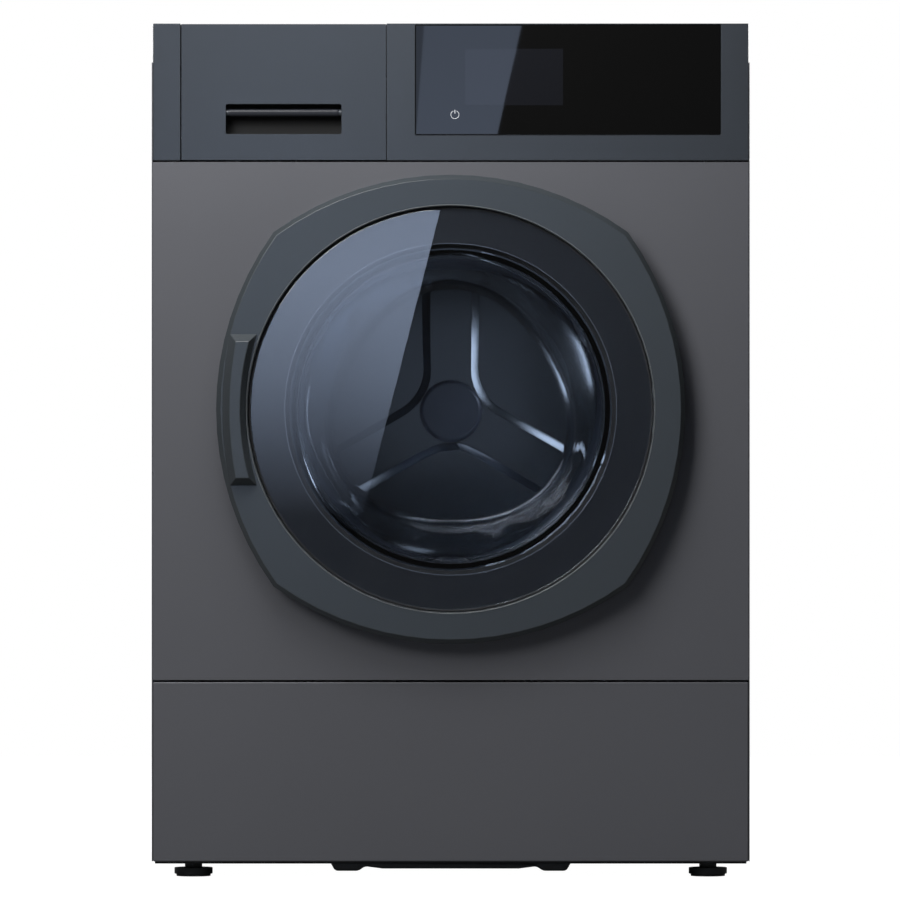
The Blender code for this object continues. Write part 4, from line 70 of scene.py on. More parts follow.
BODY_OF = {node: body for body, nodes in frame["record"]["behaviour"]["bodies"].items() for node in nodes}

DOOR_Z = 0.466
HAIR = 0.0002
WELD = 0.00003
AXIS_RADIUS = 0.00001
CREASE = math.radians(32)
BOWL_CREASE = math.radians(60)
PANE_CREASE = math.radians(10)
MERGE_ANGLE = math.radians(0.5)
FACING_FRONT = -0.99
CELLS_ASIDE = 100.0


class Grain(Enum):
    """The kinds of surface that a finish can have."""

    MOULDED = "moulded"
    BRUSHED = "brushed"
    CAST = "cast"


def linear(red: float, green: float, blue: float) -> Colour:
    """Turn a display colour of 0 to 255 into scene light.

    Args:
        red: Red, 0 to 255.
        green: Green, 0 to 255.
        blue: Blue, 0 to 255.

    Returns:
        The same colour as linear values of 0 to 1.
    """
    shares = (channel / 255 for channel in (red, green, blue))
    return tuple(s / 12.92 if s <= 0.04045 else ((s + 0.055) / 1.055) ** 2.4 for s in shares)


class NodeBench:
    """Adds and links shader nodes in one tree."""

    def __init__(self, tree: bpy.types.NodeTree) -> None:
        """Take the tree to work in.

        Args:
            tree: A material's or a group's node tree.
        """
        self.tree = tree

    def add(self, kind: str, **values: object) -> bpy.types.Node:
        """Add a node and set its properties, or its sockets by name.

        Args:
            kind: The node's type, without ShaderNode.
            **values: Properties of the node, or socket values with spaces as underscores.

        Returns:
            The new node.
        """
        node = self.tree.nodes.new(kind if kind.startswith("Node") else f"ShaderNode{kind}")
        self.fill(node, **values)
        return node

    @staticmethod
    def fill(node: bpy.types.Node, **values: object) -> None:
        """Set a node's properties, or its sockets by name.

        Args:
            node: The node.
            **values: Properties of the node, or socket values with spaces as underscores.
        """
        for name, value in values.items():
            if hasattr(node, name):
                setattr(node, name, value)
            else:
                node.inputs[name.replace("_", " ")].default_value = value

    def surface(self, shader: bpy.types.Node, group: bpy.types.Node, colour: Colour, height: float) -> None:
        """Colour a shader through a grain group, and give it the grain's relief.

        Args:
            shader: The Principled node.
            group: The grain group's node.
            colour: Linear colour.
            height: Height of the relief in metres, or 0 for none.
        """
        shade = self.add("VectorMath", operation="SCALE", name="shade")
        shade.inputs[0].default_value = colour
        self.link(group.outputs["Shade"], shade.inputs["Scale"])
        self.link(shade.outputs[0], shader.inputs["Base Color"])
        if height:
            bump = self.add("Bump", Strength=1.0, Distance=height)
            self.link(group.outputs["Height"], bump.inputs["Height"])
            self.link(bump.outputs[0], shader.inputs["Normal"])

    def link(self, source: bpy.types.NodeSocket, target: bpy.types.NodeSocket) -> None:
        """Join two sockets."""
        self.tree.links.new(source, target)

    def sum(
        self, operation: str, first: object, second: object = 0.0, clamp: bool = False
    ) -> bpy.types.NodeSocket:
        """Do one step of arithmetic.

        Args:
            operation: Blender's name of the step, such as ADD.
            first: A socket or a number.
            second: A socket or a number.
            clamp: Whether the result is kept from 0 to 1.

        Returns:
            The socket with the result.
        """
        node = self.add("Math", operation=operation, use_clamp=clamp)
        for slot, value in zip(node.inputs, (first, second)):
            if isinstance(value, bpy.types.NodeSocket):
                self.link(value, slot)
            else:
                slot.default_value = value
        return node.outputs[0]


def blank(name: str) -> tuple[bpy.types.Material, NodeBench, bpy.types.Node]:
    """Start a material.

    Args:
        name: The material's name.

    Returns:
        The material, a bench on its tree, and its Principled node.
    """
    made = bpy.data.materials.new(name)
    made.use_nodes = True
    return made, NodeBench(made.node_tree), made.node_tree.nodes["Principled BSDF"]


class GroupShelf:
    """The shader node groups that the finishes share, each built once."""

    def __init__(self) -> None:
        """Build every group."""
        self.grains = {
            Grain.MOULDED: self._speckle("moulded_grain", (1.0, 1.0, 1.0), 2.0),
            Grain.BRUSHED: self._speckle("brushed_grain", (0.03, 1.0, 1.0), 3.0),
            Grain.CAST: self._speckle("cast_grain", (1.0, 1.0, 1.0), 6.0),
        }
        self.perforation = self._perforation()

    @staticmethod
    def _start(name: str, inputs: Sequence[tuple[str, float]], outputs: Sequence[str]) -> NodeBench:
        """Start a group with its sockets.

        Args:
            name: The group's name.
            inputs: Name and first value of each input.
            outputs: Name of each output.

        Returns:
            A bench on the group, with its input and output nodes added.
        """
        tree = bpy.data.node_groups.new(name, "ShaderNodeTree")
        for label, value in inputs:
            socket = tree.interface.new_socket(label, in_out="INPUT", socket_type="NodeSocketFloat")
            socket.default_value = value
        for label in outputs:
            tree.interface.new_socket(label, in_out="OUTPUT", socket_type="NodeSocketFloat")
        bench = NodeBench(tree)
        bench.add("NodeGroupInput", name="given")
        bench.add("NodeGroupOutput", name="result")
        return bench

    def _speckle(self, name: str, stretch: Point, detail: float) -> bpy.types.NodeTree:
        """Fine speckle over slow mottling.

        Args:
            name: The group's name.
            stretch: How the pattern is scaled along each axis.
            detail: Octaves of the fine noise.

        Returns:
            A group with the inputs Scale and Depth and the outputs Shade, Wear and Height.
        """
        bench = self._start(name, (("Scale", 900.0), ("Depth", 0.1)), ("Shade", "Wear", "Height"))
        given, result = bench.tree.nodes["given"], bench.tree.nodes["result"]
        place = bench.add("TexCoord")
        mapping = bench.add("Mapping", Scale=stretch)
        bench.link(place.outputs["Object"], mapping.inputs["Vector"])
        fine = bench.add("TexNoise", Detail=detail, Roughness=0.6)
        slow = bench.add("TexNoise", Detail=2.0, Scale=5.0)
        bench.link(mapping.outputs[0], fine.inputs["Vector"])
        bench.link(given.outputs["Scale"], fine.inputs["Scale"])
        bench.link(place.outputs["Object"], slow.inputs["Vector"])
        centred = bench.sum("SUBTRACT", fine.outputs[0], 0.5)
        drift = bench.sum("MULTIPLY", bench.sum("SUBTRACT", slow.outputs[0], 0.5), 0.6)
        spread = bench.sum("MULTIPLY", bench.sum("ADD", centred, drift), given.outputs["Depth"])
        bench.link(bench.sum("ADD", spread, 1.0), result.inputs["Shade"])
        bench.link(bench.sum("MULTIPLY", drift, given.outputs["Depth"]), result.inputs["Wear"])
        bench.link(fine.outputs[0], result.inputs["Height"])
        return bench.tree

    def _perforation(self) -> bpy.types.NodeTree:
        """Staggered round holes on a drum's wall, laid out by angle and depth.

        Returns:
            A group with the inputs Pitch, Radius and Reach and the output Hole, 1 inside a hole.
        """
        inputs = (("Pitch", 0.012), ("Radius", 0.0018), ("Reach", 0.238))
        bench = self._start("perforation", inputs, ("Hole",))
        given, result = bench.tree.nodes["given"], bench.tree.nodes["result"]
        place = bench.add("TexCoord")
        split = bench.add("SeparateXYZ")
        bench.link(place.outputs["Object"], split.inputs[0])
        height = bench.sum("SUBTRACT", split.outputs["Z"], DOOR_Z)
        angle = bench.sum("ARCTAN2", height, split.outputs["X"])
        run = bench.sum("MULTIPLY", angle, given.outputs["Reach"])
        arc = bench.sum("DIVIDE", run, given.outputs["Pitch"])
        along = bench.sum("DIVIDE", split.outputs["Y"], given.outputs["Pitch"])
        reach = bench.sum("DIVIDE", given.outputs["Radius"], given.outputs["Pitch"])
        masks = []
        for shift in (0.0, 0.5):
            offsets = []
            for place_socket in (arc, along):
                cell = bench.sum("FRACT", bench.sum("ADD", place_socket, CELLS_ASIDE + shift))
                offsets.append(bench.sum("POWER", bench.sum("SUBTRACT", cell, 0.5), 2.0))
            distance = bench.sum("SQRT", bench.sum("ADD", *offsets))
            masks.append(bench.sum("LESS_THAN", distance, reach))
        bench.link(bench.sum("MAXIMUM", *masks), result.inputs["Hole"])
        return bench.tree


@dataclass(frozen=True)
class Finish:
    """An opaque surface with its own grain.

    Attributes:
        name: The finish in a maker's words.
        colour: Linear base colour.
        roughness: Middle roughness.
        metallic: 1 for bare metal.
        grain: Kind of surface.
        scale: Grains per metre.
        depth: How far the grain changes colour and roughness.
        bump: Height of the grain in metres.
        coat: Weight of a clear coat.
    """

    name: str
    colour: Colour
    roughness: float
    metallic: float = 0.0
    grain: Grain = Grain.MOULDED
    scale: float = 900.0
    depth: float = 0.12
    bump: float = 0.00003
    coat: float = 0.0

    def start(self, shelf: GroupShelf) -> tuple[bpy.types.Material, NodeBench, bpy.types.Node]:
        """Build the material with its grain.

        Args:
            shelf: The shared node groups.

        Returns:
            The material, a bench on its tree, and its Principled node.
        """
        made, bench, shader = blank(self.name)
        bench.fill(shader, Metallic=self.metallic, Coat_Weight=self.coat)
        grain = shelf.grains[self.grain]
        group = bench.add("Group", node_tree=grain, Scale=self.scale, Depth=self.depth)
        bench.surface(shader, group, self.colour, self.bump)
        rough = bench.sum("ADD", group.outputs["Wear"], self.roughness, clamp=True)
        bench.link(rough, shader.inputs["Roughness"])
        return made, bench, shader

    def material(self, shelf: GroupShelf) -> bpy.types.Material:
        """Build the finished material."""
        return self.start(shelf)[0]


@dataclass(frozen=True)
class DrumSteel(Finish):
    """Stainless sheet with punched drain holes.

    Attributes:
        pitch: Distance between holes.
        hole: Radius of a hole.
    """

    pitch: float = 0.014
    hole: float = 0.0018

    def material(self, shelf: GroupShelf) -> bpy.types.Material:
        """Build the steel, with dark sunk holes.

        Args:
            shelf: The shared node groups.

        Returns:
            The material.
        """
        made, bench, shader = self.start(shelf)
        holes = bench.add("Group", node_tree=shelf.perforation, Pitch=self.pitch, Radius=self.hole)
        solid = bench.sum("SUBTRACT", 1.0, holes.outputs["Hole"])
        tone = bench.add("VectorMath", operation="SCALE")
        bench.link(made.node_tree.nodes["shade"].outputs[0], tone.inputs[0])
        bench.link(bench.sum("MAXIMUM", solid, 0.02), tone.inputs["Scale"])
        bench.link(tone.outputs[0], shader.inputs["Base Color"])
        return made


@dataclass(frozen=True)
class Glass:
    """Clear or tinted glass.

    Attributes:
        name: The finish in a maker's words.
        tint: Linear colour that light takes at each face.
        ior: Index of refraction.
        ripple: Height of slow waves in the surface, in metres.
    """

    name: str
    tint: Colour
    ior: float = 1.5
    ripple: float = 0.0

    def material(self, shelf: GroupShelf) -> bpy.types.Material:
        """Build the glass.

        Args:
            shelf: The shared node groups.

        Returns:
            The material.
        """
        made, bench, shader = blank(self.name)
        bench.fill(shader, Transmission_Weight=1.0, IOR=self.ior, Roughness=0.0)
        group = bench.add("Group", node_tree=shelf.grains[Grain.MOULDED], Scale=30.0, Depth=0.04)
        bench.surface(shader, group, self.tint, self.ripple)
        return made


class Palette:
    """All the finishes of the machine, made into materials once."""

    def __init__(self, shelf: GroupShelf) -> None:
        """Mix every material.

        Args:
            shelf: The shared node groups.
        """
        graphite = linear(104, 105, 110)
        self.finishes = (
            Finish("graphite_coat", graphite, 0.42, 0.35, scale=2600.0, depth=0.10, bump=0.00001),
            Finish("worktop_coat", linear(62, 63, 67), 0.70, scale=2600.0, depth=0.12, bump=0.00002),
            Finish("fascia_coat", linear(63, 67, 72), 0.20, 0.20, scale=2600.0, depth=0.08, bump=0.00001),
            Finish("door_plastic", linear(66, 71, 75), 0.20, 0.15, scale=2200.0, depth=0.06, bump=0.00001),
            # pale grey of the chamfer line round the door ring's inner edge: a painted highlight
            Finish("painted_highlight_edge", linear(108, 112, 114), 0.35, 0.0, scale=2200.0, depth=0.04, bump=0.0),
            Finish("black_gloss", linear(14, 14, 14), 0.008, scale=60.0, depth=0.02, bump=0.0),
            Finish("black_print", linear(27, 30, 35), 0.30, scale=900.0, depth=0.05, bump=0.0),
            # paler colour of the line at the print's inner edge: a painted highlight
            Finish("print_painted_highlight", linear(92, 98, 108), 0.25, scale=900.0, depth=0.05, bump=0.0),
            Finish("screen_gloss", linear(24, 25, 29), 0.008, scale=60.0, depth=0.02, bump=0.0),
            Finish("symbol_print", linear(215, 218, 222), 0.40, scale=900.0, depth=0.03, bump=0.0),
            Finish("hub_plastic", linear(108, 116, 134), 0.30, 0.3, scale=1400.0, depth=0.06, bump=0.00001),
            Finish("bar_plastic", linear(38, 40, 46), 0.35, 0.1, scale=1400.0, depth=0.06, bump=0.00001),
            # near black of the grip recess's liner: painted shade for the dark inside the recess
            Finish("grip_painted_shade", linear(9, 10, 11), 0.65, scale=1400.0, bump=0.00003),
            Finish("black_plastic", linear(26, 26, 28), 0.45, scale=1400.0, bump=0.00004),
            Finish("foot_plastic", linear(76, 80, 85), 0.45, scale=1400.0, bump=0.00004),
            Finish("dark_plastic", linear(60, 64, 70), 0.45, scale=1400.0),
            Finish("white_plastic", linear(205, 207, 208), 0.42, scale=1100.0, depth=0.05),
            Finish("tub_plastic", linear(72, 74, 78), 0.55, scale=700.0, depth=0.12, bump=0.00006),
            Finish("zinc_sheet", linear(176, 178, 180), 0.36, 1.0, Grain.BRUSHED, 420.0, 0.18),
            Finish("stainless", linear(178, 180, 184), 0.24, 1.0, Grain.BRUSHED, 900.0, 0.12, 0.00001),
            Finish("cast_aluminium", linear(150, 152, 154), 0.50, 0.9, Grain.CAST, 520.0, 0.22, 0.00020),
            Finish("rubber", linear(46, 47, 49), 0.70, scale=1500.0, depth=0.16, bump=0.00004),
            Finish("gasket_rubber", linear(22, 23, 25), 0.62, scale=1200.0, depth=0.14, bump=0.00003),
            Finish("concrete", linear(138, 135, 131), 0.92, 0.0, Grain.CAST, 300.0, 0.40, 0.00060),
            DrumSteel("drum_steel", linear(150, 156, 166), 0.30, 1.0, Grain.BRUSHED, 800.0, 0.10, 0.00001),
            Finish("drum_star_steel", linear(120, 128, 140), 0.26, 1.0, Grain.BRUSHED, 800.0, 0.10, 0.00001),
            Glass("door_pane_glass", (0.74, 0.78, 0.84)),
            Glass("bowl_glass", (0.80, 0.85, 0.90), 1.47),
        )
        self.materials = {finish.name: finish.material(shelf) for finish in self.finishes}

    def dress(self, piece: bpy.types.Object, finish: str) -> None:
        """Give a piece one finish.

        Args:
            piece: The object to dress.
            finish: The finish's name.
        """
        piece.data.materials.clear()
        piece.data.materials.append(self.materials[finish])


class Bench:
    """Modelling by Blender's operators, with the selection kept tidy."""

    @staticmethod
    def mode(name: str) -> None:
        """Change to EDIT or OBJECT mode."""
        bpy.ops.object.mode_set(mode=name)

    @staticmethod
    def hold(piece: bpy.types.Object) -> None:
        """Select one object alone and make it the active one."""
        bpy.ops.object.select_all(action="DESELECT")
        piece.select_set(True)
        bpy.context.view_layer.objects.active = piece

    @classmethod
    def modify(cls, piece: bpy.types.Object, kind: str, **settings: object) -> None:
        """Add a modifier and apply it.

        Args:
            piece: The object to change.
            kind: Blender's modifier type.
            **settings: The modifier's own settings.
        """
        cls.hold(piece)
        modifier = piece.modifiers.new(kind.lower(), kind)
        for name, value in settings.items():
            setattr(modifier, name, value)
        bpy.ops.object.modifier_apply(modifier=modifier.name)

    @classmethod
    def round_edges(cls, piece: bpy.types.Object, width: float, segments: int = 2) -> None:
        """Round the sharp edges and shade the piece.

        Args:
            piece: The object to round.
            width: Width of the rounding.
            segments: Facets across it.
        """
        if width:
            cls.modify(
                piece,
                "BEVEL",
                width=width,
                segments=segments,
                limit_method="ANGLE",
                angle_limit=CREASE,
                use_clamp_overlap=True,
                miter_outer="MITER_ARC",
            )
        cls.smooth(piece)

    @classmethod
    def choose(cls, piece: bpy.types.Object, test: Callable[..., bool], parts: str = "polygons") -> None:
        """Go into edit mode with just those faces or corners selected that pass a test.

        Args:
            piece: The object.
            test: Says whether a face or corner is wanted.
            parts: The mesh's list of them, polygons or vertices.
        """
        if bpy.context.mode != "OBJECT":
            Bench.mode("OBJECT")
        cls.hold(piece)
        Bench.mode("EDIT")
        bpy.ops.mesh.select_all(action="DESELECT")
        Bench.mode("OBJECT")
        for part in getattr(piece.data, parts):
            part.select = test(part)
        Bench.mode("EDIT")

    @classmethod
    def smooth(cls, piece: bpy.types.Object, angle: float = CREASE) -> None:
        """Shade a piece smooth up to an angle, with its large flat faces kept flat."""
        cls.hold(piece)
        bpy.ops.object.shade_smooth_by_angle(angle=angle, keep_sharp_edges=False)
        cls.modify(piece, "WEIGHTED_NORMAL", mode="FACE_AREA", weight=100, keep_sharp=True)

    @classmethod
    def ripple(
        cls, piece: bpy.types.Object, height: float, size: float, chosen: Callable[[Vector], bool]
    ) -> None:
        """Push a part of a surface in and out in slow waves.

        Args:
            piece: The object to change.
            height: Height of the waves.
            size: Size of a wave.
            chosen: Tells from a corner's place whether it moves.
        """
        group = piece.vertex_groups.new(name="waves")
        group.add([v.index for v in piece.data.vertices if chosen(v.co)], 1.0, "REPLACE")
        waves = bpy.data.textures.new("waves", "CLOUDS")
        waves.noise_scale = size
        waves.noise_depth = 0
        cls.modify(piece, "DISPLACE", texture=waves, strength=height, mid_level=0.5, vertex_group="waves")

    @classmethod
    def copy_node(cls, node: str, name: str) -> bpy.types.Object:
        """Copy a CAD node's shape with its corners joined and its flat faces merged.

        Args:
            node: The CAD node.
            name: Name of the new piece.

        Returns:
            The new object, in place.
        """
        piece = bpy.data.objects.new(name, frame["nodes"][node].data.copy())
        bpy.context.scene.collection.objects.link(piece)
        cls.hold(piece)
        Bench.mode("EDIT")
        bpy.ops.mesh.select_all(action="SELECT")
        bpy.ops.mesh.remove_doubles(threshold=WELD / 3)
        bpy.ops.mesh.dissolve_limited(angle_limit=MERGE_ANGLE)
        bpy.ops.mesh.customdata_custom_splitnormals_clear()
        Bench.mode("OBJECT")
        return piece

    @classmethod
    def turned(cls, name: str, profile: Profile, centre: tuple[float, float], steps: int) -> bpy.types.Object:
        """Draw a circle along Y by a profile, a ring at a time, into a closed turned piece.

        Args:
            name: Name of the new piece.
            profile: Radius and place along Y, from one end to the other.
            centre: X and Z of the axis.
            steps: Vertices round it.

        Returns:
            The new object, in place.
        """
        points = [(max(radius, AXIS_RADIUS), along) for radius, along in profile]
        if profile[0][0] > 0 or profile[-1][0] > 0:
            points.append(points[0])
        radius, along = points[0]
        spot = (centre[0], along, centre[1])
        upright = (math.pi / 2, 0, 0)
        bpy.ops.object.select_all(action="DESELECT")
        bpy.ops.mesh.primitive_circle_add(vertices=steps, radius=radius, location=spot, rotation=upright)
        piece = bpy.context.object
        piece.name = name
        bpy.ops.object.transform_apply(location=True, rotation=True, scale=True)
        Bench.mode("EDIT")
        bpy.ops.mesh.select_all(action="SELECT")
        for (radius, along), (next_radius, next_along) in zip(points, points[1:]):
            move = {"value": (0, next_along - along, 0), "orient_type": "GLOBAL"}
            bpy.ops.mesh.extrude_edges_move(TRANSFORM_OT_translate=move)
            if next_radius != radius:
                grow = (next_radius / radius, 1, next_radius / radius)
                middle = (centre[0], next_along, centre[1])
                bpy.ops.transform.resize(value=grow, center_override=middle, orient_type="GLOBAL")
        bpy.ops.mesh.select_all(action="SELECT")
        bpy.ops.mesh.remove_doubles(threshold=WELD)
        bpy.ops.mesh.normals_make_consistent(inside=False)
        Bench.mode("OBJECT")
        return piece

    @classmethod
    def block(
        cls, name: str, low: Point, high: Point, rounding: float, segments: int = 2
    ) -> bpy.types.Object:
        """Make a block with rounded edges between two corners.

        Args:
            name: Name of the new piece.
            low: Lowest corner.
            high: Highest corner.
            rounding: Width of the rounding.
            segments: Facets across it.

        Returns:
            The new object, in place.
        """
        middle = [(a + b) / 2 for a, b in zip(low, high)]
        size = [b - a for a, b in zip(low, high)]
        bpy.ops.object.select_all(action="DESELECT")
        bpy.ops.mesh.primitive_cube_add(size=1, location=middle, scale=size)
        piece = bpy.context.object
        piece.name = name
        bpy.ops.object.transform_apply(location=True, rotation=True, scale=True)
        cls.round_edges(piece, rounding, segments)
        return piece


class Fitter:
    """Seats finished pieces on the frame: body, finish and the node they stand for."""

    def __init__(self, palette: Palette) -> None:
        """Keep the palette.

        Args:
            palette: The machine's materials.
        """
        self.palette = palette

    def seat(
        self, piece: bpy.types.Object, node: str, finish: str, replaces: bool = True
    ) -> bpy.types.Object:
        """Dress a piece and let it ride with a CAD node's body.

        Args:
            piece: The finished object.
            node: The CAD node that it belongs to.
            finish: The finish's name.
            replaces: Whether the piece stands for the node.

        Returns:
            The same piece.
        """
        self.palette.dress(piece, finish)
        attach(piece, BODY_OF[node])
        if replaces:
            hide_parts(node)
        LOG.info("%s on %s: %s", piece.name, node, finish)
        return piece

    def refine(
        self, node: str, finish: str, rounding: float, segments: int = 2, weld: float = 0.0
    ) -> bpy.types.Object:
        """Replace a CAD node by a copy with rounded edges.

        Args:
            node: The CAD node.
            finish: The finish's name.
            rounding: Width of the rounding.
            segments: Facets across it.
            weld: Corners nearer than this are joined first, so that they don't hold the rounding back.

        Returns:
            The new piece.
        """
        piece = Bench.copy_node(node, f"{node}_finished")
        if weld:
            Bench.choose(piece, lambda face: True)
            bpy.ops.mesh.remove_doubles(threshold=weld)
            Bench.mode("OBJECT")
        Bench.round_edges(piece, rounding, segments)
        return self.seat(piece, node, finish)

    def stretch(
        self, node: str, finish: str, rounding: float, start: Vector, end: Vector
    ) -> bpy.types.Object:
        """Replace a soft CAD node by a copy with rounded edges, baked in place and tied to no body.

        Args:
            node: The CAD node.
            finish: The finish's name.
            rounding: Width of the rounding.
            start: Where the piece would begin to leave the cabinet; not used.
            end: Where it would have come to follow the tub; not used.

        Returns:
            The new piece.
        """
        piece = Bench.copy_node(node, f"{node}_finished")
        Bench.round_edges(piece, rounding)
        self.palette.dress(piece, finish)
        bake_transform(piece)
        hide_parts(node)
        LOG.info("%s between cabinet and tub: %s", piece.name, finish)
        return piece

    def paint(self, node: str, finish: str) -> None:
        """Give a CAD node that stays its finish."""
        self.palette.dress(frame["nodes"][node], finish)


@dataclass
class Cabinet:
    """Sheet-metal body: sides, top, front, kick panel, back and base.

    Attributes:
        panel_edge: Rounding of the painted sheets.
        skid_edge: Rounding of the skids.
        skid_weld: Corners of the skids nearer than this are joined before rounding.
        top_edge: Rounding of the top cover.
        sheet_edge: Rounding of bare sheet metal.
        lip_drop: How far the base's dark front lip shows under the kick panel.
        lip_thick: Thickness of that lip.
        lip_inset: Its distance from the cabinet's sides.
    """

    panel_edge: float = 0.0013
    skid_edge: float = 0.0030
    skid_weld: float = 0.0006
    top_edge: float = 0.0014
    sheet_edge: float = 0.0003
    lip_drop: float = 0.0028
    lip_thick: float = 0.0030
    lip_inset: float = 0.0015

    def build(self, fitter: Fitter) -> None:
        """Finish every cabinet piece."""
        for node in ("front_panel", "kick_panel"):
            fitter.refine(node, "graphite_coat", self.panel_edge, 3)
        for node in ("side_panel_left", "side_panel_right"):
            fitter.refine(node, "graphite_coat", self.sheet_edge)
        fitter.refine("top_cover", "worktop_coat", self.top_edge, 3)
        for node in ("rear_panel", "rear_cover", "base_pan", "cross_brace", "hinge_bracket"):
            fitter.paint(node, "zinc_sheet")
        fitter.refine("base_skids", "foot_plastic", self.skid_edge, 3, self.skid_weld)
        low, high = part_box("base_pan")
        front = low.y - HAIR
        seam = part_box("kick_panel")[0].z
        lip = Bench.block(
            "base_lip",
            (low.x + self.lip_inset, front - self.lip_thick, seam - self.lip_drop),
            (high.x - self.lip_inset, front, seam + self.lip_drop),
            self.sheet_edge,
        )
        fitter.seat(lip, "base_pan", "black_plastic", False)
        fitter.refine("mains_gland", "black_plastic", self.panel_edge)


@dataclass
class RearFittings:
    """Small fittings of the back: screws, transit-bolt caps and louvres.

    Attributes:
        screw_radius: Radius of a screw head.
        screw_height: Height of a screw head.
        cap_radius: Radius of a cap over a transit-bolt hole.
        cap_height: Height of that cap.
        margin: Distance of the cover's screws from its sides.
        cover_shares: Places of those screws up the cover.
        panel_screws: X of the rear panel's side screws, mirrored, and their heights.
        top_screws: X of its upper screws and their one height.
        caps: X of the caps, mirrored, and their heights.
        louvres: How many louvres there are.
        louvre_low: Height of the lowest.
        louvre_pitch: From one to the next.
        louvre_size: Half width, depth and height of one.
        louvre_edge: Rounding of one.
        steps: Vertices round a fitting.
    """

    screw_radius: float = 0.0042
    screw_height: float = 0.0016
    cap_radius: float = 0.0150
    cap_height: float = 0.0040
    margin: float = 0.012
    cover_shares: tuple[float, ...] = (0.04, 0.36, 0.68, 0.98)
    panel_screws: tuple[float, tuple[float, ...]] = (0.283, (0.05, 0.24, 0.43, 0.62, 0.795))
    top_screws: tuple[tuple[float, ...], float] = ((-0.12, 0.0, 0.12), 0.802)
    caps: tuple[float, tuple[float, ...]] = (0.232, (0.30, 0.585))
    louvres: int = 6
    louvre_low: float = 0.075
    louvre_pitch: float = 0.016
    louvre_size: Point = (0.060, 0.0035, 0.007)
    louvre_edge: float = 0.0028
    steps: int = 24

    def build(self, fitter: Fitter) -> None:
        """Place every fitting on the rear panel."""
        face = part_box("rear_panel")[1].y + HAIR / 4
        low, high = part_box("rear_cover")
        across = (low.x - self.margin, high.x + self.margin)
        heights = [low.z + (high.z - low.z) * share for share in self.cover_shares]
        spots = [(x, z) for x in across for z in heights]
        spots += self._both_sides(*self.panel_screws)
        spots += [(x, self.top_screws[1]) for x in self.top_screws[0]]
        radius, height = self.screw_radius, self.screw_height
        screw = (
            (0, face + height * 0.35),
            (radius * 0.30, face + height * 0.55),
            (radius * 0.36, face + height),
            (radius * 0.72, face + height * 0.86),
            (radius, face + height * 0.30),
            (radius, face),
            (0, face),
        )
        self._repeat(fitter, "rear_screw", screw, spots, "zinc_sheet")
        radius, height = self.cap_radius, self.cap_height
        cap = (
            (0, face + height * 0.45),
            (radius * 0.50, face + height * 0.45),
            (radius * 0.56, face + height),
            (radius * 0.86, face + height),
            (radius, face + height * 0.40),
            (radius, face),
            (0, face),
        )
        self._repeat(fitter, "transit_cap", cap, self._both_sides(*self.caps), "dark_plastic")
        half, proud, tall = self.louvre_size
        for index in range(self.louvres):
            z = self.louvre_low + index * self.louvre_pitch
            corners = ((-half, face, z), (half, face + proud, z + tall))
            louvre = Bench.block(f"rear_louvre_{index + 1}", *corners, self.louvre_edge, 4)
            fitter.seat(louvre, "rear_panel", "zinc_sheet", False)

    @staticmethod
    def _both_sides(aside: float, heights: Sequence[float]) -> list[tuple[float, float]]:
        """Places at some heights, left and right of the middle."""
        return [(x, z) for x in (-aside, aside) for z in heights]

    def _repeat(
        self, fitter: Fitter, name: str, profile: Profile, spots: Sequence[tuple[float, float]], finish: str
    ) -> None:
        """Model a turned fitting once and copy it to its places.

        Args:
            fitter: Seats the copies.
            name: Name of the fitting.
            profile: Its profile, as for Bench.turned.
            spots: Where it goes, by X and Z.
            finish: Its finish.
        """
        first = Bench.turned(f"{name}_1", profile, spots[0], self.steps)
        Bench.smooth(first)
        for index, (x, z) in enumerate(spots):
            piece = first
            if index:
                Bench.hold(first)
                bpy.ops.object.duplicate()
                piece = bpy.context.object
                piece.name = f"{name}_{index + 1}"
                bpy.ops.transform.translate(value=(x - spots[0][0], 0, z - spots[0][1]))
                bpy.ops.object.transform_apply(location=True, rotation=True, scale=True)
            fitter.seat(piece, "rear_panel", finish, False)


